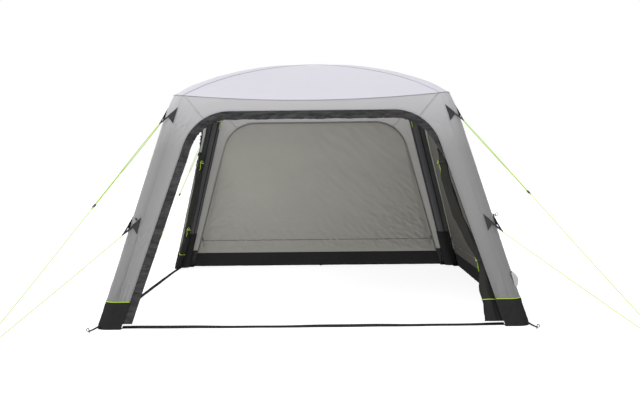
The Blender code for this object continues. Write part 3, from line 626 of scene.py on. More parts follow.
def thicken(piece: bpy.types.Object, thickness: float, offset: float = -1.0) -> None:
    """Gives a cloth its thickness, behind the side that it faces.

    Args:
        piece: The cloth.
        thickness: In metres.
        offset: The side that it grows to.
    """
    wall = piece.modifiers.new("thickness", "SOLIDIFY")
    wall.thickness = thickness
    wall.offset = offset


def add_cloth(name: str, cells: tuple[int, int], place: Place, finish: Finish, ripple: Optional[Ripple] = None,
              turn: Optional[Matrix] = None, thickness: float = 0.0012, stands_for: str = "",
              body: str = "shelter") -> bpy.types.Object:
    """A piece of cloth with its thickness.

    Args:
        name: The piece's name.
        cells: How many across and up.
        place: Gives the point at shares across and up.
        finish: What it is made of.
        ripple: Gives how far a point stands out.
        turn: Where the whole is moved.
        thickness: Of the cloth, in metres.
        stands_for: The CAD node that it replaces.
        body: The CAD body that carries it.

    Returns:
        The new object.
    """
    piece = add_piece(name, grid_mesh(name, cells, place, ripple, turn), finish, stands_for, body)
    thicken(piece, thickness)
    return piece


def smooth_path(points: Sequence[Vector], steps: int = 6) -> list[Vector]:
    """A smooth line through points.

    Args:
        points: What the line goes through.
        steps: Pieces between two points.

    Returns:
        The points of the line.
    """
    ends = [2 * points[0] - points[1], *points, 2 * points[-1] - points[-2]]
    line = []
    for a, b, c, d in zip(ends, ends[1:], ends[2:], ends[3:]):
        for t in shares(steps)[:-1]:
            line.append(0.5 * (2 * b + (c - a) * t + (2 * a - 5 * b + 4 * c - d) * t ** 2
                               + (3 * b - a - 3 * c + d) * t ** 3))
    return [*line, Vector(points[-1])]


def add_tube(name: str, points: Sequence[Vector], diameter: float, finish: Finish, resolution: int = 3,
             closed: bool = False, stands_for: str = "", body: str = "shelter") -> bpy.types.Object:
    """A round tube along points, as a curve with filled ends.

    Args:
        name: The piece's name.
        points: Its centre line.
        diameter: Of the tube.
        finish: What it is made of.
        resolution: How round it is.
        closed: Whether it is a ring.
        stands_for: The CAD node that it replaces.
        body: The CAD body that carries it.

    Returns:
        The new object.
    """
    curve = bpy.data.curves.new(name, "CURVE")
    curve.dimensions = "3D"
    curve.bevel_depth = diameter / 2
    curve.bevel_resolution = resolution
    curve.use_fill_caps = not closed
    spline = curve.splines.new("POLY")
    spline.points.add(len(points) - 1)
    for point, spot in zip(spline.points, points):
        point.co = (*spot, 1.0)
    spline.use_cyclic_u = closed
    return add_piece(name, curve, finish, stands_for, body)


def add_strip(name: str, path: Sequence[Vector], normals: Vector | Sequence[Vector], width: float, thickness: float,
              finish: Finish, turn: Optional[Matrix] = None) -> None:
    """A narrow tape laid along a path, with its edges turned down a little.

    Args:
        name: The piece's name.
        path: Its middle line, on the surface that it is sewn to.
        normals: The surface's direction, one for all or one at each point.
        width: Of the tape.
        thickness: How far its back stands off.
        finish: What it is made of.
        turn: Where the whole is moved.
    """
    last = len(path) - 1
    if isinstance(normals, Vector):
        normals = [normals] * len(path)

    def place(across: float, up: float) -> Vector:
        """A point of the tape.

        Args:
            across: Its share along the path.
            up: Its share over the width.

        Returns:
            The point.
        """
        index = round(across * last)
        sideways = normals[index].cross(path[min(last, index + 1)] - path[max(0, index - 1)]).normalized()
        lift = thickness * (1.0 if 0.2 < up < 0.8 else 0.35)
        return path[index] + sideways * (up - 0.5) * width + normals[index] * lift

    add_cloth(name, (last, 4), place, finish, turn=turn, thickness=thickness * 0.9)


def add_ring(name: str, centre: Vector, normal: Vector, across: float, diameter: float,
             finish: Finish) -> bpy.types.Object:
    """A ring of cord or rod round a point.

    Args:
        name: The piece's name.
        centre: Its middle.
        normal: The direction of its axis.
        across: Its width between the middles of the rod.
        diameter: Of the rod.
        finish: What it is made of.

    Returns:
        The new object.
    """
    first = normal.orthogonal().normalized()
    second = normal.cross(first).normalized()
    turns = [2 * math.pi * share for share in shares(20)[:-1]]
    points = [centre + (first * math.cos(turn) + second * math.sin(turn)) * across / 2 for turn in turns]
    return add_tube(name, points, diameter, finish, 2, closed=True)


def add_tie(name: str, spots: Sequence[Vector], finish: Finish, diameter: float, body: str = "shelter") -> None:
    """A short cord end that hangs from a piece.

    Args:
        name: The piece's name.
        spots: What it goes through, from where it is tied.
        finish: What it is made of.
        diameter: Of the cord.
        body: The CAD body that carries it.
    """
    route = smooth_path(spots)
    tie = add_tube(name, route, diameter, finish, 2, body=body)
    round(distances(route)[-1], 3)


# The lines that the shelter follows

@dataclass(frozen=True)
class ShelterForm:
    """The lines that every cloth follows, with the CAD part's sizes."""

    base_half: float = 1.83
    lean: float = 0.279
    eave_corner: float = 2.008
    eave_middle: float = 1.943
    crown: float = 2.405
    corner_radius: float = 0.10
    leg_foot_width: float = 0.215
    header_depth: float = 0.0974
    edge_lean: float = 0.31
    arch_radius: float = 0.42
    mitre_angle: float = math.radians(57)
    mitre_inset: float = 0.1238
    layer: float = 0.0035
    corner_share: float = 0.36
    eave_seam: float = 0.004
    shoulder_low: float = 1.75
    shoulder_inset: float = 0.022
    vault_slump: float = 0.018

    @property
    def slant(self) -> float:
        """How much longer a face is than it is high."""
        return math.hypot(1, self.lean)

    @property
    def inward(self) -> Vector:
        """The direction into the shelter, square to its front side."""
        return Vector((0, 1, -self.lean)) / self.slant

    @property
    def edge_foot(self) -> float:
        """Half the width of an arch at the ground."""
        return self.base_half - self.leg_foot_width

    @property
    def arch_top(self) -> float:
        """The height of an arch."""
        return self.eave_middle - self.header_depth

    @property
    def mitre_eave(self) -> float:
        """Where a mitre meets the eave, along the side."""
        return self.face_half(self.eave_corner) - self.mitre_inset

    def face_half(self, height: float) -> float:
        """How far a face stands from the centre at a height."""
        return self.base_half - self.lean * height

    def on_face(self, s: float, height: float, depth: float = 0.0) -> Vector:
        """A point of the front side at a depth behind its outer skin."""
        return Vector((s, -self.face_half(height), height)) + depth * self.inward

    def eave_height(self, s: float) -> float:
        """Height of the eave along a side."""
        reach = self.face_half(self.eave_corner) - self.corner_radius * (1 - math.sin(math.pi / 4))
        return self.eave_middle + (self.eave_corner - self.eave_middle) * (s / reach) ** 2

    def eave_point(self, share: float, out: float, drop: float) -> Vector:
        """A point of the eave on the front side.

        Args:
            share: From -1 at the left corner to 1 at the right one.
            out: How far it stands off the skin.
            drop: How far it is below the eave.

        Returns:
            The point. The last tenth at each end runs round half of the corner.
        """
        turn = max(0.0, abs(share) - 0.9) / 0.1 * math.pi / 4
        run = min(0.9, abs(share)) / 0.9
        nominal = self.face_half(self.eave_corner) - self.corner_radius
        height = self.eave_height(run * nominal + self.corner_radius * math.sin(turn)) - drop
        centre = self.face_half(height) - self.corner_radius
        radius = self.corner_radius + out * self.slant
        s = run * centre + radius * math.sin(turn)
        return Vector((math.copysign(s, share), -centre - radius * math.cos(turn), height))

    def arch_half(self, offset: float, foot: float, end: float = math.pi / 2, leg_cells: int = 60,
                  arc_cells: int = 24) -> Outline:
        """The right half of an arch, from its foot up to the end of its arc.

        Args:
            offset: How far it is widened.
            foot: The height that it starts at.
            end: The angle that the arc ends at.
            leg_cells: Steps up the leg.
            arc_cells: Steps round the arc.

        Returns:
            Points as distance along the side and height.
        """
        edge_slant = math.hypot(1, self.edge_lean)
        centre_height = self.arch_top - self.arch_radius
        centre_s = self.edge_foot - self.edge_lean * centre_height - self.arch_radius * edge_slant
        radius = self.arch_radius + offset
        angles = [between(math.atan(self.edge_lean), end, share) for share in shares(arc_cells)]
        arc = [(centre_s + radius * math.cos(angle), centre_height + radius * math.sin(angle)) for angle in angles]
        low = (self.edge_foot + offset * edge_slant - self.edge_lean * foot, foot)
        leg = [(between(low[0], arc[0][0], share), between(low[1], arc[0][1], share)) for share in shares(leg_cells)]
        return leg[:-1] + arc

    def arch_outline(self, offset: float, foot: float, leg_cells: int = 60, arc_cells: int = 24,
                     top_cells: int = 60) -> Outline:
        """A whole arch, from its left foot to its right one, as arch_half gives it.

        Args:
            offset: How far outside the arch's edge.
            foot: The height where it starts and ends.
            leg_cells: Cells along a leg.
            arc_cells: Cells round a corner.
            top_cells: Cells across the top.

        Returns:
            The points, as distance along the face and height.
        """
        half = self.arch_half(offset, foot, leg_cells=leg_cells, arc_cells=arc_cells)
        end_s, end_height = half[-1]
        across = [(end_s * (2 * share - 1), end_height) for share in shares(top_cells)[1:-1]]
        return [(-s, height) for s, height in half] + across + half[::-1]

    def arch_cap(self, arc: Outline, top_cells: int = 90) -> Outline:
        """The round part of an arch, from its left shoulder to its right one, over the end of a right arc."""
        across = [(arc[-1][0] * (1 - 2 * share), arc[-1][1]) for share in shares(top_cells)[1:-1]]
        return [(-s, height) for s, height in arc] + across[::-1] + arc[::-1]

    def shoulder(self, spot: Vector) -> Vector:
        """Where a point goes as the pull of the cloth rounds the top corners and the vault slumps round its crown.

        Args:
            spot: The point in the shelter's frame.

        Returns:
            The point, drawn in towards the crown. Below the shoulders it stays where it is.
        """
        rise = (spot.z - self.shoulder_low) / (self.eave_corner - self.shoulder_low)
        if rise <= 0:
            return spot
        half = self.face_half(min(spot.z, self.eave_corner))
        share = max(abs(spot.x), abs(spot.y)) / self.face_half(self.eave_corner)
        slump = self.vault_slump * ease(share / 0.16) * (1 - ease((share - 0.35) / 0.55)) * ease((spot.z - 1.95) / 0.15)
        move = self.shoulder_inset * min(1.0, rise) ** 2.5
        near_x, near_y = (ease((abs(value) - half + 0.16) / 0.14) for value in spot.xy)
        wide_x, wide_y = (ease((abs(value) - half + 0.55) / 0.5) for value in spot.xy)
        x = spot.x - math.copysign(move * near_x * wide_y, spot.x)
        return Vector((x, spot.y - math.copysign(move * near_y * wide_x, spot.y), spot.z - slump))

    def leg_axis(self, height: float) -> Vector:
        """The centre of an air tube in its leg at a height."""
        m = self.face_half(height) - self.corner_radius
        return Vector((m, -m, height))

    def round_leg(self, across: float, height: float, edge_s: float, radius: float) -> Vector:
        """A point round a leg's corner, on its front face up to the middle and on its side face from there.

        Args:
            across: From 0 at the arch in front to 1 at the arch on the side.
            height: Above the ground.
            edge_s: Where the arch's edge is, along the face.
            radius: The corner's radius.

        Returns:
            The point.
        """
        share = min(across, 1 - across)
        turn = max(0.0, share - self.corner_share) / (0.5 - self.corner_share) * math.pi / 4
        centre = self.face_half(height) - self.corner_radius
        s = between(edge_s, centre, min(1.0, share / self.corner_share)) + radius * math.sin(turn)
        spot = Vector((s, -centre - radius * math.cos(turn), height))
        return over_corner(spot) if across > 0.5 else spot

    def cover_point(self, edge: Outline, across: float, up: float) -> Vector:
        """A point of a leg cover.

        Args:
            edge: The cover's inner edge, from the ground to the eave.
            across: Its share round the leg.
            up: From 0 at the foot to 1 at the eave.

        Returns:
            The point.
        """
        share = min(across, 1 - across)
        edge_s, edge_height = on_line(edge, up)
        rise = (edge_height - edge[0][1]) / (edge[-1][1] - edge[0][1])
        turn = max(0.0, share - self.corner_share) / (0.5 - self.corner_share) * math.pi / 4
        nominal = self.face_half(self.eave_corner) - self.corner_radius
        flat = min(1.0, share / self.corner_share)
        top_s = between(self.mitre_eave, nominal, flat) + self.corner_radius * math.sin(turn)
        height = between(edge[0][1], self.eave_height(top_s) - self.eave_seam, rise)
        return self.round_leg(across, height, edge_s, self.corner_radius)

    def cover_edge(self, foot: float = 0.006) -> Outline:
        """The inner edge of a leg cover: up the leg, round the arc and up the mitre to the eave.

        Args:
            foot: The height where it starts.

        Returns:
            The points, as distance along the face and height.
        """
        edge = self.arch_half(0, foot, self.mitre_angle, 110, 28)
        low = edge[-1]
        high = (self.mitre_eave, self.eave_height(self.mitre_eave) - self.eave_seam)
        mitre = [(between(low[0], high[0], share), between(low[1], high[1], share)) for share in shares(10)]
        return edge + mitre[1:]


FORM = ShelterForm()


# Studio

@dataclass
class Studio:
    """A pale floor, soft light and the camera at the photograph's viewpoint."""

    place: tuple[float, float, float] = (0.1126, -8.1701, 1.4504)
    focal_mm: float = 43.03
    sensor_mm: float = 36.0
    pitch: float = math.radians(-3.393)
    yaw: float = math.radians(-0.372)
    roll: float = math.radians(-0.625)
    far: float = 200.0
    floor_size: float = 60.0
    floor_colour: str = "#8A8A8A"
    floor_glow: float = 0.88
    sky: float = 1.0
    high_light: float = 1.8
    high_light_spread: float = math.radians(50)
    high_light_from: tuple[float, float, float] = (-0.45, -0.25, 0.86)
    lamps: tuple[tuple[str, tuple[float, float, float], float, float], ...] = (
        ("lamp_key", (-5.0, -5.5, 4.5), 3.0, 55.0), ("lamp_side", (-6.5, 1.5, 3.5), 3.0, 40.0),
    )

    def build(self) -> None:
        """Adds the camera, the floor and the lights."""
        self.add_camera()
        self.add_floor()
        self.add_lights()

    def add_camera(self) -> None:
        """Adds the camera at the photograph's viewing angle."""
        ahead = Vector((
            math.sin(self.yaw) * math.cos(self.pitch), math.cos(self.yaw) * math.cos(self.pitch), math.sin(self.pitch)
        ))
        level = Vector((math.cos(self.yaw), -math.sin(self.yaw), 0))
        upright = level.cross(ahead)
        right = level * math.cos(self.roll) + upright * math.sin(self.roll)
        up = upright * math.cos(self.roll) - level * math.sin(self.roll)
        data = bpy.data.cameras.new("camera")
        data.lens = self.focal_mm
        data.sensor_width = self.sensor_mm
        data.sensor_fit = "HORIZONTAL"
        data.clip_end = self.far
        turned = Matrix((right, up, -ahead)).transposed().to_4x4()
        bpy.context.scene.camera = add_object("camera", data, Matrix.Translation(self.place) @ turned)

    def add_floor(self) -> None:
        """Adds a plain pale floor."""
        bm = bmesh.new()
        bmesh.ops.create_grid(bm, x_segments=1, y_segments=1, size=self.floor_size)
        data = mesh_of("floor", bm)
        paper = bpy.data.materials.new("floor_paper")
        paper.use_nodes = True
        for socket, value in (
            ("Base Color", linear(self.floor_colour)), ("Roughness", 0.9), ("Specular IOR Level", 0.1),
            ("Emission Color", (1.0, 1.0, 1.0, 1.0)), ("Emission Strength", self.floor_glow),
        ):
            paper.node_tree.nodes["Principled BSDF"].inputs[socket].default_value = value
        data.materials.append(paper)
        add_object("floor", data)

    def add_lights(self) -> None:
        """Adds an even white sky, a soft light from high on the left and two large lamps."""
        scene = bpy.context.scene
        scene.view_settings.view_transform = "Standard"
        world = bpy.data.worlds.new("studio_sky")
        world.use_nodes = True
        world.node_tree.nodes["Background"].inputs["Color"].default_value = (1.0, 1.0, 1.0, 1.0)
        world.node_tree.nodes["Background"].inputs["Strength"].default_value = self.sky
        scene.world = world
        data = bpy.data.lights.new("high_light", "SUN")
        data.energy = self.high_light
        data.angle = self.high_light_spread
        add_object("high_light", data, self.facing(-Vector(self.high_light_from)))
        for name, place, size, power in self.lamps:
            data = bpy.data.lights.new(name, "AREA")
            data.shape = "SQUARE"
            data.size = size
            data.energy = power
            add_object(name, data, Matrix.Translation(place) @ self.facing(UP - Vector(place)))

    def facing(self, ahead: Vector) -> Matrix:
        """The turn of a lamp that faces a direction."""
        return ahead.to_track_quat("-Z", "Y").to_matrix().to_4x4()


# Guy ropes

@dataclass
class GuyRopes:
    """The ropes from the anchors to the pegs, their knots, loops and the pegs' own steel."""

    diameter: float = 0.006
    clearance: float = 0.012
    spacing: float = 0.012
    apart: float = 0.004
    runner_travel: float = 0.41
    runners_at: dict[Leg, float] = field(default_factory=lambda: {
        Leg.FRONT_RIGHT: 0.89, Leg.REAR_RIGHT: 1.05, Leg.REAR_LEFT: 1.10, Leg.FRONT_LEFT: 0.99,
    })
    knot_tail: float = 0.03
    knot_width: float = 0.005
    knot_diameter: float = 0.0045
    merge: float = 0.10
    upper_sag: float = 0.006
    lower_sag: float = 0.005
    loop_diameter: float = 0.005
    peg_diameter: float = 0.009
    wrap_turns: int = 2
    wrap_gap: float = 0.0015
    wrap_rise: float = 0.004
    end_gap: float = 0.0005
    pegs: dict[Leg, tuple[float, float]] = field(default_factory=lambda: {
        Leg.FRONT_RIGHT: (2.581, -2.692), Leg.REAR_RIGHT: (2.47, 2.72),
        Leg.REAR_LEFT: (-2.344, 2.674), Leg.FRONT_LEFT: (-2.391, -2.834),
    })

    def run_of(self, leg: Leg, anchor: Anchor) -> tuple[Vector, Vector, Vector, float]:
        """The straight run of a rope.

        Args:
            leg: The leg that it holds.
            anchor: Where it starts.

        Returns:
            Its start, direction, sideways direction and length.
        """
        half = FORM.face_half(anchor.height) + anchor.out
        tip = leg.turn @ Vector((half, -half, anchor.height))
        peg = Vector((*self.pegs[leg], anchor.peg_height))
        along = (peg - tip).normalized()
        start = tip + along * self.clearance
        short = (self.peg_diameter / 2 + self.diameter / 2 + self.end_gap) / along.xy.length
        return start, along, along.cross(UP).normalized(), (peg - start).length - short

    def upper_route(self, leg: Leg) -> list[Vector]:
        """The upper rope's line, from the knot under the runner, up round the anchor and down to the peg.

        Args:
            leg: The leg that it holds.

        Returns:
            The points. The strands bow apart, but not where the runner slides.
        """
        start, along, sideways, run = self.run_of(leg, UPPER)
        half = self.spacing / 2
        knot = self.runners_at[leg] + self.knot_tail
        free = self.runners_at[leg] - self.runner_travel
        downs = [between(knot, half, share) for share in shares(16)]
        bows = [half + self.apart * math.sin(math.pi * min(1.0, (down - half) / free)) for down in downs]
        points = [start + along * down + sideways * bow for down, bow in zip(downs, bows)]
        for turn in (math.pi * share for share in shares(6)[1:-1]):
            points.append(start + sideways * half * math.cos(turn) + along * half * (1 - math.sin(turn)))
        points += [start + along * down - sideways * bow for down, bow in zip(reversed(downs), reversed(bows))]
        return points + self.hang(start, along, (knot + self.merge, run), self.upper_sag, 12)

    def hang(self, start: Vector, along: Vector, reach: tuple[float, float], sag: float, steps: int) -> list[Vector]:
        """A single strand that sags a little, between two distances along a line."""
        drops = [sag * math.sin(math.pi * share) * UP for share in shares(steps)]
        return [start + along * between(*reach, share) - drop for share, drop in zip(shares(steps), drops)]

    def lower_route(self, leg: Leg) -> list[Vector]:
        """The lower rope's line, from the anchor down to the peg."""
        start, along, _, run = self.run_of(leg, LOWER)
        return self.hang(start, along, (0.0, run), self.lower_sag, 20)

    def add_loop(self, leg: Leg, anchor: Anchor) -> None:
        """Adds the cord loop that ties a rope to its webbing anchor.

        Args:
            leg: The leg that it holds.
            anchor: Its upper or lower anchor.
        """
        start, along, sideways, _ = self.run_of(leg, anchor)
        back = start - along * (self.clearance + 0.012)
        low = start - along * 0.004
        half = sideways * anchor.loop_width * 0.4
        tail = sideways * 0.002
        points = [back + tail, low + half, start + along * anchor.loop_reach, low - half, back - tail]
        add_tube(f"anchor_loop_{anchor.label}_{leg.label}", smooth_path(points), self.loop_diameter, LIME_PIPING)

    def add_wraps(self, leg: Leg, anchor: Anchor) -> bpy.types.Object:
        """Adds the turns of rope round the peg.

        Args:
            leg: The leg that it holds.
            anchor: Whose rope it is.

        Returns:
            The turns.
        """
        centre = Vector((*self.pegs[leg], anchor.peg_height))
        radius = (self.peg_diameter + self.diameter + self.wrap_gap) / 2
        points = []
        for share in shares(40):
            turn = 2 * math.pi * self.wrap_turns * share
            points.append(centre + Vector((
                math.cos(turn) * radius, math.sin(turn) * radius, self.wrap_rise * (2 * share - 1)
            )))
        return add_tube(f"peg_wraps_{anchor.label}_{leg.label}", points, self.diameter, ROPE_BRAID, 2)

    def add_knot(self, leg: Leg) -> bpy.types.Object:
        """Adds the knot under a runner.

        Args:
            leg: The leg that the rope holds.

        Returns:
            The knot.
        """
        start, along, sideways, _ = self.run_of(leg, UPPER)
        centre = start + along * (self.runners_at[leg] + self.knot_tail) + sideways * self.spacing / 2
        return add_ring(f"rope_knot_{leg.label}", centre, along, self.knot_width, self.knot_diameter, ROPE_BRAID)

    def build(self, nodes: dict[str, bpy.types.Object]) -> None:
        """Adds every rope with what is tied to it.

        Args:
            nodes: The CAD nodes by name.
        """
        for leg in Leg:
            peg, runner = nodes[f"guy_peg_{leg.label}"], nodes[f"rope_runner_{leg.label}"]
            for node, finish in ((peg, PEG_STEEL), (nodes[f"foot_peg_{leg.label}"], PEG_STEEL), (runner, BLACK_NYLON)):
                node.data.materials[0] = material_of(finish)
            for anchor, route in ((UPPER, self.upper_route(leg)), (LOWER, self.lower_route(leg))):
                rope = add_tube(
                    f"{anchor.label}_rope_{leg.label}", route, self.diameter, ROPE_BRAID, 2,
                    stands_for=f"guy_rope_{anchor.label}_{leg.label}",
                )
                pieces = [self.add_wraps(leg, anchor), peg]
                if anchor is UPPER:
                    pieces += [self.add_knot(leg), runner]
                tuple(route[0])
                round(distances(route)[-1], 2)
                self.add_loop(leg, anchor)
        LOG.info("guy ropes: eight, from %d legs", len(Leg))


# Roof

@dataclass
class Roof:
    """The canopy: one vault with its hem lapped over the eaves, and a taped seam on both sides of each ridge."""

    skin: float = 0.003
    lap_clearance: float = 0.001
    seam_gap: float = 0.0005
    lap: float = 0.003
    panel_sag: float = 0.010
    seam_inset: float = 0.14
    seam_lift: float = 0.0015
    seam_width: float = 0.005
    seam_thickness: float = 0.0008
    cells: int = 132
    hem_cells: int = 4

    def place(self, x: float, y: float) -> Vector:
        """A point of the canopy, with its hem in the outer two rings.

        Args:
            x: From 0 at the left to 1 at the right.
            y: From 0 in front to 1 at the back.

        Returns:
            The point.
        """
        inner = 1 - self.hem_cells / self.cells
        a, b = 2 * x - 1, 2 * y - 1
        turn = 0
        while -b < max(abs(a), abs(b)) - 1e-9 and turn < 4:
            a, b = b, -a
            turn += 1
        ring = -b
        if ring < 1e-9:
            return Vector((0, 0, FORM.crown))
        over = max(0.0, ring - inner) / (1 - inner)
        spot = FORM.eave_point(a / ring, self.skin + self.lap_clearance, between(-self.seam_gap, self.lap, over))
        spot = Side(turn).turn @ spot if turn < 4 else spot
        share = min(1.0, ring / inner)
        sag = self.panel_sag * (1 - (a / ring) ** 2) * math.sin(math.pi * share) ** 2
        return Vector((spot.x * share, spot.y * share, FORM.crown - (FORM.crown - spot.z) * share ** 2 - sag))

    def ripple(self, spot: Vector, x: float, y: float) -> float:
        """Slack: long shallow pulls from the corners, none at the hem.

        Args:
            spot: A point of the canopy.
            x: Its share across.
            y: Its share back.

        Returns:
            How far it stands out.
        """
        edge = ease((0.5 - max(abs(x - 0.5), abs(y - 0.5))) / 0.06)
        outward = Vector((spot.x, spot.y, 0))
        if outward.length < 1e-6:
            return 0.0
        pull = streak(spot, outward, 0.9, 0.10, 3.1)
        near_corner = ease((min(abs(spot.x), abs(spot.y)) - 0.55) / 0.5)
        return edge * (0.0012 * pull + 0.004 * near_corner * (ridge(pull) - 0.3))

    def build(self) -> None:
        """Adds the canopy and the seams."""
        canopy = add_cloth(
            "canopy_cloth", (self.cells, self.cells), self.place, ROOF_CLOTH, self.ripple, stands_for="roof_canopy"
        )
        for side, end in itertools.product(Side, (-1, 1)):
            self.add_ridge_seam(side, end)
        LOG.info("roof: canopy and %d ridge seams", 2 * len(Side))

    def seam_spot(self, ring: float, a: float) -> Vector:
        """A point on the rippled canopy of the front panel, from its distances to the crown and to the middle."""
        x, y = (a + 1) / 2, (1 - ring) / 2
        return self.place(x, y) + (self.ripple(self.place(x, y), x, y) + self.seam_lift) * UP

    def add_ridge_seam(self, side: Side, end: int) -> None:
        """Adds the seam that runs up a panel beside one of its ridges.

        Args:
            side: The panel's side.
            end: Which ridge: -1 the left one, 1 the right one.
        """
        path, normals = [], []
        inset = self.seam_inset / FORM.eave_point(1, 0, 0).x
        for ring in (between(0.16, 0.985, share) for share in shares(70)):
            spot, ahead, aside = (
                self.seam_spot(ring + forward, end * (ring + forward - inset) + across)
                for forward, across in ((0, 0), (0.004, 0), (0, 0.01))
            )
            normal = (ahead - spot).cross(aside - spot).normalized()
            path.append(spot)
            normals.append(normal if normal.z > 0 else -normal)
        add_strip(
            f"ridge_seam_{side.label}_{end + 1}", path, normals, self.seam_width, self.seam_thickness, RIDGE_SEAM,
            side.turn,
        )


# Leg covers, headers, flaps and boots

@dataclass
class LegCovers:
    """The grey covers of the legs, with their corner seams, guy anchors, boots and foot loops."""

    cells: tuple[int, int] = (72, 150)
    boot_cells: tuple[int, int] = (60, 40)
    boot_height: float = 0.222
    boot_out: float = 0.0045
    boot_sole: float = 0.075
    sole_share: float = 0.1
    piping: float = 0.006
    seam_at: float = 0.33
    seam_width: float = 0.0045
    seam_thickness: float = 0.0009
    seam_lift: float = 0.0004
    fan_lift: float = 0.004
    fan_tip: float = 0.006
    fan_tip_half: float = 0.007
    fan_thickness: float = 0.002
    loop_width: float = 0.026
    loop_thickness: float = 0.0035

    def crease(self, seed: float, spot: Vector, across: float, up: float) -> float:
        """Creases of a leg cover: long soft folds up the leg, pulls from the anchors, gathers above the boot.

        Args:
            seed: A number that picks the leg's pattern.
            spot: A point of the cover.
            across: Its share round the leg.
            up: Its share up the leg.

        Returns:
            How far it stands out.
        """
        up_leg = Vector((-0.25, 0.25, 0.93))
        long_fold = streak(spot, up_leg, 0.9, 0.09, seed)
        near = max(math.exp(-((spot.z - anchor.height) / 0.16) ** 2) for anchor in (UPPER, LOWER))
        gather = math.exp(-((spot.z - 0.30) / 0.16) ** 2)
        short = ridge(streak(spot, Vector((0.5, -0.5, -0.7)), 0.22, 0.035, seed + 5))
        tucks = ridge(streak(spot, up_leg, 0.30, 0.030, seed + 9))
        depth = 0.0016 * long_fold + 0.0035 * near * (short - 0.3) + 0.0055 * gather * (tucks - 0.3)
        return fade(across, up, 0.12, 0.03) * depth

    def add_covers(self) -> None:
        """Adds the four covers with their seams."""
        edge = FORM.cover_edge()
        for leg in Leg:
            cover = add_cloth(
                f"cover_cloth_{leg.label}", self.cells, functools.partial(FORM.cover_point, edge), COVER_CLOTH,
                functools.partial(self.crease, leg.value * 3.7 + 1), leg.turn, stands_for=f"leg_cover_{leg.label}",
            )
            if leg is Leg.FRONT_RIGHT:
                Valve().open_cover(cover)
            for face in Face:
                self.add_seams(leg, face, edge)

    def add_seams(self, leg: Leg, face: Face, edge: Outline) -> None:
        """Adds the long seam beside the corner and the mitre seam to the header, on one face of a leg.

        Args:
            leg: The leg.
            face: Its front or side face.
            edge: The cover's inner edge.
        """
        runs = {
            "corner_seam": [FORM.cover_point(edge, self.seam_at, between(0.12, 0.995, share)) for share in shares(80)],
            "mitre_seam": [FORM.on_face(s, height) for s, height in edge[-11:]],
        }
        for label, run in runs.items():
            normal = -FORM.inward
            path = [spot + normal * self.seam_lift for spot in run]
            if face is Face.SIDE:
                path, normal = [over_corner(spot) for spot in reversed(path)], over_corner(normal)
            add_strip(
                f"{label}_{face.value}_{leg.label}", path, normal, self.seam_width, self.seam_thickness, COVER_CLOTH,
                leg.turn,
            )

    def add_anchors(self) -> None:
        """Adds the webbing fans and the hooks of the guy anchors."""
        for leg in Leg:
            for anchor, face in itertools.product((UPPER, LOWER), Face):
                self.add_fan(leg, anchor, face)
            self.add_hook(leg)

    def add_fan(self, leg: Leg, anchor: Anchor, face: Face) -> None:
        """Adds one fan: an arrow-head patch on the face that narrows to a tip off the corner.

        Args:
            leg: The leg.
            anchor: Its upper or lower anchor.
            face: The front or side face.
        """
        half = FORM.face_half(anchor.height) + anchor.out
        tip = Vector((half + self.fan_tip, -half, anchor.height))
        corners = []
        for inset, rise in anchor.fan:
            height = anchor.height + rise
            corners.append(FORM.on_face(FORM.face_half(height) - inset, height, -self.fan_lift))
        corners += [tip - self.fan_tip_half * UP, tip + self.fan_tip_half * UP]
        bm = bmesh.new()
        bm.faces.new([bm.verts.new(spot) for spot in corners])
        bmesh.ops.triangulate(bm, faces=bm.faces[:])
        bmesh.ops.subdivide_edges(bm, edges=bm.edges[:], cuts=5, use_grid_fill=True)
        for vert in bm.verts:
            vert.co -= FORM.inward * 0.002 * noise.noise(vert.co * 30)
        layer = bm.loops.layers.uv.new("cloth")
        for loop in (loop for patch in bm.faces for loop in patch.loops):
            loop[layer].uv = (loop.vert.co.x, loop.vert.co.z)
        bmesh.ops.recalc_face_normals(bm, faces=bm.faces)
        if bm.faces[0].normal.dot(FORM.inward) > 0:
            bmesh.ops.reverse_faces(bm, faces=bm.faces)
        if face is Face.SIDE:
            for vert in bm.verts:
                vert.co = over_corner(vert.co)
            bmesh.ops.reverse_faces(bm, faces=bm.faces)
        bmesh.ops.transform(bm, matrix=leg.turn, verts=bm.verts)
        name = f"anchor_fan_{anchor.label}_{face.value}_{leg.label}"
        thicken(add_piece(name, mesh_of(name, bm), FAN_CLOTH), self.fan_thickness)

    def add_hook(self, leg: Leg) -> None:
        """Adds the small hook ring in its webbing loop above the lower anchor, on a leg's side face.

        Args:
            leg: The leg.
        """
        height = LOWER.height + 0.145
        half = FORM.face_half(height)
        outward = Vector((1, 0, FORM.lean)) / FORM.slant
        sewn = Vector((half, -half + 0.052, height))
        path = smooth_path([
            sewn + outward * out + Vector((0, y, z))
            for out, y, z in ((0.004, 0, 0), (0.012, 0.004, -0.022), (0.026, 0, -0.020), (0.005, 0, -0.004))
        ])
        add_tube(f"hook_loop_{leg.label}", [leg.turn @ spot for spot in path], 0.006, WEBBING, 2)
        centre = leg.turn @ (sewn + outward * 0.034 - 0.012 * UP)
        add_ring(f"hook_ring_{leg.label}", centre, leg.turn.to_3x3() @ Vector((0.2, -1, 0)), 0.024, 0.005, BLACK_NYLON)

    def boot_point(self, across: float, up: float, out: float = 0.0) -> Vector:
        """A point of a boot.

        Args:
            across: Its share round the leg, as in a cover.
            up: Its share up the boot, the first part being the sole.
            out: How far it stands off.

        Returns:
            The point.
        """
        height = self.boot_height * max(0.0, (up - self.sole_share) / (1 - self.sole_share))
        inset = self.boot_sole * max(0.0, 1 - up / self.sole_share)
        radius = FORM.corner_radius + (self.boot_out + out) * FORM.slant - inset
        return FORM.round_leg(across, height, FORM.edge_foot - FORM.edge_lean * height, radius)

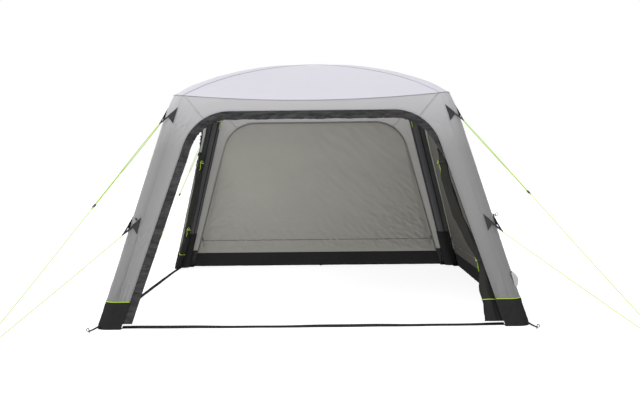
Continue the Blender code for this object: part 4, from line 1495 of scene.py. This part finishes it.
    def boot_crease(self, seed: float, spot: Vector, across: float, up: float) -> float:
        """How far a point of a boot stands out. Its sole is flat.

        Args:
            seed: A number that picks the leg's pattern.
            spot: The point.
            across: Its share round the leg.
            up: Its share up the boot.

        Returns:
            The distance.
        """
        if up < self.sole_share + 0.02:
            return 0.0
        edge = ease(min((up - self.sole_share) / 0.12, (1 - up) / 0.08, 1))
        folds = streak(spot, Vector((0.2, -0.2, 0.95)), 0.20, 0.045, seed)
        sag = streak(spot, Vector((0.7, 0.7, 0.1)), 0.25, 0.05, seed + 3)
        return edge * (0.007 * abs(folds) + 0.004 * sag)

    def add_boots(self) -> None:
        """Adds the coated boots with their lime piping and foot loops."""
        for leg in Leg:
            boot = add_cloth(
                f"boot_cloth_{leg.label}", self.boot_cells, self.boot_point, BOOT_CLOTH,
                functools.partial(self.boot_crease, leg.value * 2.3 + 7), leg.turn, 0.0015, f"leg_boot_{leg.label}",
            )
            line = [leg.turn @ self.boot_point(share, 1.0, 0.001) for share in shares(60)]
            add_tube(f"boot_piping_{leg.label}", line, self.piping, LIME_PIPING)
            self.add_foot_loop(leg)
        LOG.info("legs: covers, anchors and boots")

    def add_foot_loop(self, leg: Leg) -> None:
        """Adds the webbing loop from a boot's corner to its foot peg.

        Args:
            leg: Which leg.
        """
        low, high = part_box(f"foot_peg_{leg.label}")
        peg = (low + high) / 2
        inner = leg.turn @ self.boot_point(0.5, 0.2)
        start, end = Vector((inner.x, inner.y, 0.030)), Vector((peg.x, peg.y, 0.014))
        path = smooth_path([start, (start + end) / 2 - 0.004 * UP, end], 10)
        add_strip(f"foot_loop_{leg.label}", path, UP, self.loop_width, self.loop_thickness, WEBBING)

    def build(self) -> None:
        """Adds everything of the legs."""
        self.add_covers()
        self.add_anchors()
        self.add_boots()


@dataclass
class Headers:
    """The bands over the arches, and the dark storm flaps along the arches' edges."""

    flap_width: float = 0.075
    flap_lap: float = 0.004
    flap_foot: float = 0.045
    tucked_top: float = 1.42
    tucked_width: float = 0.004
    hem_width: float = 0.010
    hem_thickness: float = 0.0010

    def add_headers(self) -> None:
        """Adds the four header panels."""
        mitre = FORM.arch_half(0, 0, FORM.mitre_angle)[-1]
        lower = FORM.arch_cap([mitre] + [point for point in FORM.arch_half(0, 0)[60:] if point[0] < mitre[0] - 0.01])
        last = len(lower) - 1
        hem = [FORM.on_face(s, height, -0.0008) for s, height in FORM.arch_outline(0.007, self.flap_foot + 0.18)][::-1]

        def place(share: float, up: float) -> Vector:
            """A point of the panel.

            Args:
                share: From 0 at its left mitre to 1 at its right one.
                up: From the arch to the eave.

            Returns:
                The point.
            """
            s, height = lower[round(share * last)]
            top_s = s * FORM.mitre_eave / mitre[0]
            return FORM.on_face(between(s, top_s, up), between(height, FORM.eave_height(top_s) - FORM.eave_seam, up))

        for side in Side:
            def stand_out(spot: Vector, share: float, up: float) -> float:
                """How far a point of the panel stands out."""
                return fade(share, up, 0.06, 0.2) * 0.0016 * streak(spot, Vector((1, 0, 0)), 0.5, 0.06, side.value + 2)

            panel = add_cloth(
                f"header_cloth_{side.label}", (last, 14), place, COVER_CLOTH, stand_out, side.turn,
                stands_for=f"header_panel_{side.label}",
            )
            add_strip(
                f"arch_hem_{side.label}", hem, -FORM.inward, self.hem_width, self.hem_thickness, COVER_CLOTH, side.turn
            )

    def add_flaps(self) -> None:
        """Adds the storm flaps. Beside a rolled wall the leg part is tucked away."""
        outer, wide, narrow = (
            FORM.arch_outline(offset, self.flap_foot, 100, 30, 110)
            for offset in (self.flap_lap, -self.flap_width, -self.tucked_width)
        )
        last = len(outer) - 1
        for side in Side:
            tucked = {Side.FRONT: 1, Side.LEFT: -1}.get(side, 0)

            def place(share: float, up: float) -> Vector:
                """A point of the flap.

                Args:
                    share: From 0 at one foot, over the arch, to 1 at the other.
                    up: From its free edge to its sewn one.

                Returns:
                    The point.
                """
                index = round(share * last)
                inner_s, inner_height = wide[index]
                if tucked * inner_s > 0:
                    part = (inner_height - self.tucked_top) / (FORM.arch_top - self.flap_width - self.tucked_top)
                    part = min(1.0, max(0.0, part)) ** 0.5
                    inner_s = between(narrow[index][0], inner_s, part)
                    inner_height = between(narrow[index][1], inner_height, part)
                s = between(inner_s, outer[index][0], up)
                return FORM.on_face(s, between(inner_height, outer[index][1], up), FORM.layer)

            def stand_out(spot: Vector, share: float, up: float) -> float:
                """How far a point of the flap stands out: it puckers across, most where it hangs free.

                Args:
                    spot: The point.
                    share: Its share round the arch.
                    up: Its share over the width.

                Returns:
                    The distance. Over a hung wall the flap only stands outwards.
                """
                index = round(share * last)
                (low_s, low), (high_s, high) = outer[max(0, index - 1)], outer[min(last, index + 1)]
                ahead = Vector((high_s - low_s, 0, high - low)).normalized()
                slope = ahead + Vector((-ahead.z, 0, ahead.x)) * 0.6
                free = ease((0.82 - up) / 0.3) * ease(min(share, 1 - share) / 0.01)
                loose = between(0.35, 1.0, ease((spot.z - 1.1) / 0.6)) * (1.0 if tucked else 0.45)
                wave = streak(spot, slope, 0.22, 0.055, side.value * 4 + 1)
                fine = ridge(streak(spot, slope, 0.15, 0.030, side.value * 4 + 8))
                distance = free * loose * (0.020 * wave + 0.012 * (fine - 0.3))
                return distance if tucked else max(0.0, distance) + 0.004 * free

            flap = add_cloth(
                f"flap_cloth_{side.label}", (last, 12), place, FLAP_CLOTH, stand_out, side.turn,
                stands_for=f"storm_flap_{side.label}",
            )

    def build(self) -> None:
        """Adds the headers and flaps."""
        self.add_headers()
        self.add_flaps()
        LOG.info("headers and storm flaps: %d sides", len(Side))


# Walls

@dataclass
class Walls:
    """The rear and right walls, zipped in, with their skirts, seams and zips."""

    inset: float = -0.005
    belly: float = 0.012
    skirt_height: float = 0.185
    ground_clearance: float = 0.004
    seam_gap: float = 0.0005
    seam_lift: float = 0.0032
    seam_width: float = 0.007
    seam_thickness: float = 0.0010
    zip_inset: float = 0.012
    zip_lift: float = 0.0055
    zip_width: float = 0.005
    zip_thickness: float = 0.0016
    depth: float = 0.007
    seam_heights: dict[Side, float] = field(default_factory=lambda: {Side.REAR: 0.357, Side.RIGHT: 0.33})
    # The right wall takes a darker copy of the wall's cloth: painted shade.
    finishes: dict[Side, ClothFinish] = field(default_factory=lambda: {
        Side.REAR: WALL_CLOTH, Side.RIGHT: SIDE_WALL_CLOTH_PAINTED_SHADE,
    })

    def wrinkle(self, spot: Vector) -> float:
        """How far the cloth stands into the room.

        Args:
            spot: A point of the wall in the front side's frame.

        Returns:
            The distance: broad slack, long pulls and, near the lower corners, diagonal creases.
        """
        low = math.exp(-((spot.z - 0.30) / 0.26) ** 2)
        corner = math.exp(-(((abs(spot.x) - 1.1) / 0.55) ** 2 + ((spot.z - 0.55) / 0.5) ** 2))
        slope = Vector((math.copysign(0.72, -spot.x), 0, 0.62))
        pull = streak(spot, slope, 0.60, 0.055, 4.2)
        fine = ridge(streak(spot, slope, 0.34, 0.026, 6.1))
        pinch = ridge(streak(spot, Vector((0.35, 0, 0.94)), 0.16, 0.028, 8.8))
        broad = noise.noise(spot * 1.6 + Vector((3, 1, 2)))
        return 0.004 + 0.006 * broad + 0.003 * pull + low * 0.005 * pinch + (0.6 * low + corner) * 0.010 * fine

    def wall_point(self, side: Side, line: Outline, share: float, up: float) -> Vector:
        """A point of the wall, wrinkles and all, in the front side's frame.

        Args:
            side: Which wall.
            line: Its upper edge.
            share: From 0 at the left to 1 at the right.
            up: From the skirt to the arch.

        Returns:
            The point.
        """
        foot_height = self.skirt_height + self.seam_gap
        foot = FORM.arch_half(-self.inset, foot_height)[0][0]
        middle = share * 2 - 1
        top_s, top_height = on_line(line, share)
        swell = self.belly * math.sin(math.pi * up) * (1 - middle ** 2)
        flat = FORM.on_face(
            between(foot * middle, top_s, up), between(foot_height, top_height, up), self.depth + swell
        )
        edge = ease((min(share, 1 - share) - 0.012) / 0.03) * ease(min(up, 1 - up) / 0.03)
        return flat + FORM.inward * edge * self.wrinkle(flat + Vector((0, side.value * 3.1, 0)))

    def build(self) -> None:
        """Adds both walls."""
        line = FORM.arch_cap(FORM.arch_half(-self.inset, self.skirt_height)[60:])
        for side in (Side.REAR, Side.RIGHT):
            self.add_wall(side, line)
            self.add_skirt(side)
            self.add_seams(side, line)
            self.add_skirt_loop(side)
        LOG.info("walls: rear and right")

    def add_wall(self, side: Side, line: Outline) -> None:
        """Adds one wall.

        Args:
            side: Where it hangs.
            line: Its upper edge.
        """
        wall = add_cloth(
            f"wall_cloth_{side.label}", (len(line) - 1, 96), functools.partial(self.wall_point, side, line),
            self.finishes[side], turn=side.turn, stands_for=f"{side.label}_wall",
        )

    def add_skirt(self, side: Side) -> None:
        """Adds a wall's ground skirt.

        Args:
            side: Which wall.
        """
        ground, top = (
            FORM.arch_half(-self.inset, height)[0][0] for height in (self.ground_clearance, self.skirt_height)
        )

        def place(share: float, up: float) -> Vector:
            """A point of the skirt at shares across and up."""
            s = (share * 2 - 1) * between(ground, top, up)
            return FORM.on_face(s, between(self.ground_clearance, self.skirt_height, up), self.depth)

        def stand_out(spot: Vector, share: float, up: float) -> float:
            """How far a point of the skirt stands out."""
            edge = ease(min(share, 1 - share) / 0.02) * ease((1 - up) / 0.15)
            return edge * 0.0030 * streak(spot, UP, 0.30, 0.08, side.value + 5.5)

        skirt = add_cloth(
            f"skirt_cloth_{side.label}", (170, 16), place, BOOT_CLOTH, stand_out, side.turn, 0.0015,
            f"{side.label}_wall_skirt",
        )

    def add_seams(self, side: Side, line: Outline) -> None:
        """Adds the cross seam and the zip, on the room side.

        Args:
            side: Which wall.
            line: Its upper edge.
        """
        inward = FORM.inward
        low = self.skirt_height + self.seam_gap
        cross = []
        for share in (between(0.012, 0.988, step) for step in shares(140)):
            up = (self.seam_heights[side] - low) / (line[round(share * (len(line) - 1))][1] - low)
            cross.append(self.wall_point(side, line, share, up) + inward * self.seam_lift)
        add_strip(
            f"cross_seam_{side.label}", cross, inward, self.seam_width, self.seam_thickness, WALL_SEAM, side.turn
        )
        outline = FORM.arch_outline(-self.inset - self.zip_inset, self.skirt_height, 80, 24, 90)
        path = [FORM.on_face(s, height, self.depth + self.zip_lift) for s, height in outline]
        add_strip(f"wall_zip_{side.label}", path, inward, self.zip_width, self.zip_thickness, ZIP_TAPE, side.turn)

    def add_skirt_loop(self, side: Side) -> None:
        """Adds the peg loop under the middle of a skirt.

        Args:
            side: Which wall.
        """
        spot = FORM.on_face(-0.05, 0.016, self.depth + 0.004)
        path = smooth_path([spot + Vector((0, y, z)) for y, z in ((0, 0.022), (0.012, 0), (0.034, -0.011))], 5)
        normal = Vector((0, 0.5, 0.8)).normalized()
        add_strip(f"skirt_loop_{side.label}", path, normal, 0.020, 0.0025, WEBBING, side.turn)


# Rolled walls

@dataclass
class RolledWalls:
    """The front and left walls, rolled up and tied along a leg.

    Each reach is a height with the roll's reach from the arch's edge and half its width there.
    """

    radius: float = 0.056
    pinch_reach: float = 0.05
    fold: float = 0.006
    foot: float = 0.045
    top: float = 1.50
    skirt_top: float = 0.215
    spread_top: float = 0.50
    skirt_lap: float = 0.004
    ties: tuple[float, ...] = (0.54, 1.38)
    tie_diameter: float = 0.005
    toggle_diameter: float = 0.010
    piping: float = 0.006
    reaches: tuple[tuple[float, float, float], ...] = (
        (0.0, 0.170, 0.105), (0.26, 0.116, 0.078), (0.54, 0.036, 0.040), (0.75, 0.084, 0.054), (0.93, 0.118, 0.060),
        (1.23, 0.106, 0.056), (1.36, 0.070, 0.040), (1.50, 0.048, 0.022),
    )

    def build(self) -> None:
        """Adds both rolls."""
        for side, end in ((Side.FRONT, 1), (Side.LEFT, -1)):
            self.add_roll(side, end)
            self.add_ties(side, end)
        LOG.info("rolled walls: front and left")

    def section(self, end: int, height: float, angle: float, out: float = 0.0) -> Vector:
        """A point of the roll's surface on the front side.

        Args:
            end: 1 for the right leg, -1 for the left.
            height: Above the ground.
            angle: Round the roll.
            out: How far it stands off.

        Returns:
            The point. Under its lower tie the roll hangs plumb and opens towards the room.
        """
        for (low, low_reach, low_half), (high, high_reach, high_half) in zip(self.reaches, self.reaches[1:]):
            if height <= high:
                share = ease((height - low) / (high - low))
                reach, half = between(low_reach, high_reach, share), between(low_half, high_half, share)
                break
        tied = max(math.exp(-((height - tie) / self.pinch_reach) ** 2) for tie in self.ties)
        turn = Vector((math.cos(angle), math.sin(angle), 0))
        loose = noise.noise(turn * 1.3 + Vector((end * 5, 2, height * 2.2)))
        lobes = self.fold * (math.cos(3 * angle + 2.4 * height * end) - 1) + 0.010 * (loose - 0.35)
        stand = lobes * (1 - tied) + out
        thick = min(half, self.radius) * (1 - 0.45 * max(0.0, (self.spread_top - height) / self.spread_top))
        s = end * (FORM.edge_foot - FORM.edge_lean * height - reach + half) + (half + stand) * math.cos(angle)
        return FORM.on_face(s, height, 3 * FORM.layer + thick - (thick + stand) * math.sin(angle))

    def ring(self, side: Side, end: int, height: float, cells: int) -> list[Vector]:
        """A ring of points just outside the roll."""
        turns = [2 * math.pi * share for share in shares(cells)[:-1]]
        return [side.turn @ self.section(end, height, turn, 0.001) for turn in turns]

    def crease(self, end: int, spot: Vector, across: float, up: float) -> float:
        """How far a point of the roll stands out: the edges of its layers, and deep folds along it.

        Args:
            end: 1 for the right leg, -1 for the left.
            spot: The point.
            across: Its share round the roll.
            up: Its share up the roll.

        Returns:
            The distance.
        """
        along = Vector((-0.34 * end, 0.25, 0.90))
        layers = ridge(streak(spot, along, 0.55, 0.022, 6.0))
        deep = ridge(streak(spot, along, 0.80, 0.045, 9.0))
        soft = streak(spot, along, 0.25, 0.03, 2.0)
        return ease(min(up, 1 - up) / 0.02) * (0.003 * soft - 0.005 * layers - 0.009 * deep)

    def add_roll(self, side: Side, end: int) -> None:
        """Adds one roll with its skirt and piping.

        Args:
            side: The side whose wall it is.
            end: 1 for the right leg, -1 for the left.
        """
        join = self.skirt_top + self.skirt_lap
        for name, rows, low, high, out, finish, stands_for in (
            ("roll_cloth", 220, self.skirt_top, self.top, 0.0, ROLL_CLOTH_PAINTED_SHADE, f"{side.label}_wall_roll"),
            ("roll_skirt", 30, self.foot, join, 0.002, BOOT_CLOTH, ""),
        ):
            mesh = grid_mesh(
                f"{name}_{side.label}", (96, rows),
                lambda across, up: self.section(end, between(low, high, up), -2 * math.pi * across, out),
                functools.partial(self.crease, end), side.turn, closed=True,
            )
            add_piece(f"{name}_{side.label}", mesh, finish, stands_for)
        add_tube(f"roll_piping_{side.label}", self.ring(side, end, join, 48), self.piping, LIME_PIPING, closed=True)

    def add_ties(self, side: Side, end: int) -> None:
        """Adds the elastic bands that hold a roll, with their lime toggles and hanging ends.

        Args:
            side: The side whose wall it is.
            end: 1 for the right leg, -1 for the left.
        """
        seen = math.pi + 0.5 if end > 0 else -0.45
        for index, height in enumerate(self.ties):
            add_tube(
                f"roll_tie_{index}_{side.label}", self.ring(side, end, height, 40), self.tie_diameter, BLACK_PIPING,
                closed=True,
            )
            spots = [
                side.turn @ self.section(end, height + drop, seen + swing, 0.006)
                for drop, swing in ((0.020, -0.5), (0.026, 0.1), (-0.01, 0.3), (-0.05, 0.15), (-0.085, 0.3))
            ]
            add_tie(f"roll_tie_end_{index}_{side.label}", spots, LIME_PIPING, self.tie_diameter)
            across = [
                side.turn @ self.section(end, height + 0.003, seen + turn, 0.005) for turn in (-0.7, -0.35, 0.0, 0.35)
            ]
            add_tube(f"roll_toggle_{index}_{side.label}", across, self.toggle_diameter, LIME_PIPING)


# Air frame and sleeves

@dataclass
class AirFrame:
    """The air tubes, the crown joiner and the sleeves that hold the tubes in the corners."""

    sleeve_radius: float = 0.063
    sleeve_wrap: float = math.radians(30)
    sleeve_depth: float = 0.0065
    sleeve_top: float = 1.86
    sleeve_foot: float = 0.006
    lower_cover_foot: float = 0.005
    lower_cover_top: float = 0.455
    seam_width: float = 0.012
    seam_thickness: float = 0.0014
    tie_diameter: float = 0.010

    def build(self, nodes: dict[str, bpy.types.Object]) -> None:
        """Adds the tubes and the sleeves.

        Args:
            nodes: The CAD nodes by name.
        """
        for leg in Leg:
            self.add_tube_skin(nodes[f"air_tube_{leg.label}"], f"tube_skin_{leg.label}")
            self.add_sleeve(leg)
        self.add_tube_skin(nodes["crown_joiner"], "joiner_skin")
        LOG.info("air frame: tubes, joiner and sleeves")

    def add_tube_skin(self, node: bpy.types.Object, name: str) -> None:
        """Adds the rounded skin of an inflated piece over its CAD solid.

        Args:
            node: The CAD solid.
            name: The skin's name.
        """
        bm = bmesh.new()
        bm.from_mesh(node.data)
        bmesh.ops.remove_doubles(bm, verts=bm.verts, dist=0.00005)
        layer = bm.loops.layers.uv.new("cloth")
        for loop in (loop for face in bm.faces for loop in face.loops):
            loop[layer].uv = (loop.vert.co.x + loop.vert.co.y, loop.vert.co.z)
        data = mesh_of(name, bm)
        data.shade_smooth()
        add_piece(name, data, TUBE_FILM, node.name)

    def sleeve_point(self, low: float, high: float, out: float, across: float, up: float) -> Vector:
        """A point of a sleeve round the room side of a tube.

        Args:
            low: The height where the sleeve starts.
            high: The height where it ends.
            out: How far it stands off.
            across: From 0 where it is sewn to the front face to 1 where it is sewn to the side face.
            up: Its share between the heights.

        Returns:
            The point.
        """
        height = between(low, high, up)
        centre = FORM.face_half(height) - FORM.corner_radius
        depth = FORM.corner_radius - self.sleeve_depth * FORM.slant
        radius = self.sleeve_radius + out
        share = min(across, 1 - across)
        turn = between(-self.sleeve_wrap, math.pi / 4, max(0.0, share - 0.1) / 0.4)
        x, y = centre - radius * math.cos(turn), -centre + radius * math.sin(turn)
        if share < 0.1:
            foot = x + (depth - radius * math.sin(self.sleeve_wrap)) * math.tan(self.sleeve_wrap)
            x, y = between(foot, x, share / 0.1), between(-centre - depth, y, share / 0.1)
        spot = Vector((x, y, height))
        return over_corner(spot) if across > 0.5 else spot

    def add_sleeve(self, leg: Leg) -> None:
        """Adds one sleeve, the black cover of its lower part, the dark seams along both and its top tie.

        Args:
            leg: The leg.
        """
        def stand_out(spot: Vector, across: float, up: float) -> float:
            """How far a point of the sleeve stands out."""
            return fade(across, up, 0.1, 0.02) * 0.002 * streak(spot, UP, 0.4, 0.03, leg.value + 3.3)

        sleeve = add_cloth(
            f"sleeve_cloth_{leg.label}", (40, 120),
            functools.partial(self.sleeve_point, self.sleeve_foot, self.sleeve_top, 0.0), SLEEVE_CLOTH, stand_out,
            leg.turn, stands_for=f"tube_sleeve_{leg.label}",
        )
        lower = add_cloth(
            f"sleeve_foot_{leg.label}", (40, 40),
            functools.partial(self.sleeve_point, self.lower_cover_foot, self.lower_cover_top, 0.004), BOOT_CLOTH,
            stand_out, leg.turn,
        )
        for label, across in (("front", 0.12), ("middle", 0.55), ("side", 0.88)):
            path = [self.sleeve_point(0.02, self.sleeve_top, 0.003, across, share) for share in shares(60)]
            normals = [(spot - FORM.leg_axis(spot.z)).normalized() for spot in path]
            add_strip(
                f"sleeve_seam_{label}_{leg.label}", path, normals, self.seam_width, self.seam_thickness, WEBBING,
                leg.turn,
            )
        spots = [
            leg.turn @ self.sleeve_point(self.sleeve_top - drop, 0.0, 0.006 + out, 0.45, 0.0)
            for drop, out in ((0.0, 0.004), (0.02, 0.012), (0.05, 0.010), (0.085, 0.014))
        ]
        add_tie(f"sleeve_tie_{leg.label}", spots, LIME_PIPING, self.tie_diameter)


# Ground straps

@dataclass
class GroundStraps:
    """The black webbing on the ground across the two open sides, one edge of each curled up off the ground."""

    width: float = 0.036
    thickness: float = 0.003
    tilt: float = math.radians(16)
    clearance: float = 0.0025
    depth: float = 0.055
    bow: float = 0.02
    end_gap: float = 0.0005

    def place(self, side: Side, share: float, up: float) -> Vector:
        """A point of a strap, which lies a little wavy.

        Args:
            side: Where the strap lies.
            share: From 0 at its left end to 1 at its right one.
            up: From its outer edge to its inner one.

        Returns:
            The point.
        """
        middle = share * 2 - 1
        y = -FORM.base_half + self.depth - self.bow * (1 - middle ** 2)
        wave = 0.0008 * (1 + math.sin(share * 40 + side.value)) + 0.003 * up * (1 + math.sin(share * 13))
        rise = (up if side is Side.FRONT else 1 - up) * self.width * math.sin(self.tilt)
        spread = (up - 0.5) * self.width * math.cos(self.tilt)
        return Vector(((FORM.edge_foot - self.end_gap) * middle, y + spread, self.clearance + rise + wave))

    def build(self) -> None:
        """Adds both straps."""
        for side in (Side.FRONT, Side.LEFT):
            strap = add_cloth(
                f"strap_webbing_{side.label}", (160, 4), functools.partial(self.place, side), WEBBING, turn=side.turn,
                thickness=self.thickness, stands_for=f"ground_strap_{side.label}",
            )
        LOG.info("ground straps: front and left")


# Valve, pocket and zips

@dataclass
class Valve:
    """The inflation valve, its cap and the pocket flap that hides them."""

    height: float = 0.345
    hole_radius: float = 0.036
    hole_depth: float = 0.03
    pocket: float = 0.125
    bulge: float = 0.030
    sweep: float = 0.9 * math.pi
    clearance: float = 0.001
    skin: float = 0.003
    binding: float = 0.004

    def matrix(self, distance: float) -> Matrix:
        """The turn and place on the valve's axis, at a distance from the centre of the tube.

        Args:
            distance: Along the axis.

        Returns:
            The matrix, its Z along the axis and its Y up the leg.
        """
        out = Vector((1, 0, FORM.lean)) / FORM.slant
        up = Vector((-FORM.lean, 0, 1)) / FORM.slant
        axes = Matrix((up.cross(out), up, out)).transposed()
        return Matrix.Translation(FORM.leg_axis(self.height) + out * distance) @ axes.to_4x4()

    def open_cover(self, cover: bpy.types.Object) -> None:
        """Cuts the valve's hole in the cover's mesh.

        Args:
            cover: The front right leg's cover.
        """
        frame = self.matrix(FORM.corner_radius / FORM.slant).inverted()
        bm = bmesh.new()
        bm.from_mesh(cover.data)
        inside = []
        for face in bm.faces:
            local = frame @ face.calc_center_median()
            if abs(local.z) < self.hole_depth and local.xy.length < self.hole_radius:
                inside.append(face)
        bmesh.ops.delete(bm, geom=inside, context="FACES")
        bm.to_mesh(cover.data)
        bm.free()

    def place(self, across: float, up: float) -> Vector:
        """A point of the bulging flap, which hangs from its top edge and bends round the leg's corner.

        Args:
            across: From 0 at its front edge to 1 at its back one.
            up: From its free edge to its hinge.

        Returns:
            The point, from the middle of the hinge.
        """
        middle = across * 2 - 1
        swell = self.bulge * (1 - middle ** 4) * math.sin(self.sweep * (1 - up))
        round_corner = FORM.corner_radius - math.sqrt(
            FORM.corner_radius ** 2 - (min(0.0, middle) * self.pocket / 2) ** 2
        )
        return Vector((middle * self.pocket / 2, (up - 1) * self.pocket, swell - round_corner))

    def crease(self, spot: Vector, across: float, up: float) -> float:
        """How far a point of the flap stands out, from its shares across and up."""
        folds = streak(spot, Vector((0.3, 1, 0)), 0.08, 0.014, 2.5)
        return ease(min(across, 1 - across) / 0.15) * ease((1 - up) / 0.15) * (0.003 * folds + 0.002 * ridge(folds))

    def build(self, nodes: dict[str, bpy.types.Object]) -> None:
        """Adds the pocket flap and gives the valve its finish.

        Args:
            nodes: The CAD nodes by name.
        """
        for name in ("inflation_valve", "valve_cap"):
            nodes[name].data.materials[0] = material_of(BLACK_NYLON)
        top = self.matrix(FORM.corner_radius / FORM.slant + self.skin + self.clearance)
        turn = top @ Matrix.Translation((0, self.pocket / 2, 0))
        flap = add_cloth(
            "pocket_cloth", (36, 36), self.place, POCKET_CLOTH, self.crease, turn, 0.0015, "pocket_flap", "pocket"
        )
        hem = [turn @ (self.place(between(0.2, 0.8, share), 0.02) + 0.001 * UP) for share in shares(20)]
        add_tube("pocket_binding", hem, self.binding, BLACK_PIPING, body="pocket")
        LOG.info("valve and pocket")


@dataclass
class Zips:
    """The sliders of the walls' zips, with their pull cords."""

    pull: float = 0.09
    diameter: float = 0.003
    swing: float = 0.006

    def build(self, nodes: dict[str, bpy.types.Object]) -> None:
        """Gives the sliders their finish and adds the pulls.

        Args:
            nodes: The CAD nodes by name.
        """
        for end in ("rear_left", "rear_right", "right_rear"):
            name = f"zip_slider_{end}"
            nodes[name].data.materials[0] = material_of(BLACK_NYLON)
            low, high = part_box(name)
            middle = (low + high) / 2
            room = Vector((-middle.x, -middle.y, 0)).normalized()
            aside = Vector((0, self.swing, 0)) if end == "right_rear" else Vector((self.swing, 0, 0))
            top = middle + room * 0.006
            spots = [top, top + room * 0.010 - 0.02 * UP]
            for step in range(1, 5):
                spots.append(top + room * 0.016 + aside * (-1) ** step - (0.02 + self.pull * step / 5) * UP)
            add_tie(f"zip_pull_{end}", spots, BLACK_PIPING, self.diameter, f"slider_{end}")
        LOG.info("zips: three sliders")


def main() -> None:
    """Builds the shelter over its CAD part."""
    logging.basicConfig(level=logging.INFO, format="%(message)s")
    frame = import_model()
    nodes = frame["nodes"]
    Studio().build()
    GuyRopes().build(nodes)
    Roof().build()
    LegCovers().build()
    Headers().build()
    Walls().build()
    RolledWalls().build()
    AirFrame().build(nodes)
    GroundStraps().build()
    Valve().build(nodes)
    Zips().build(nodes)


if __name__ == "__main__":
    main()
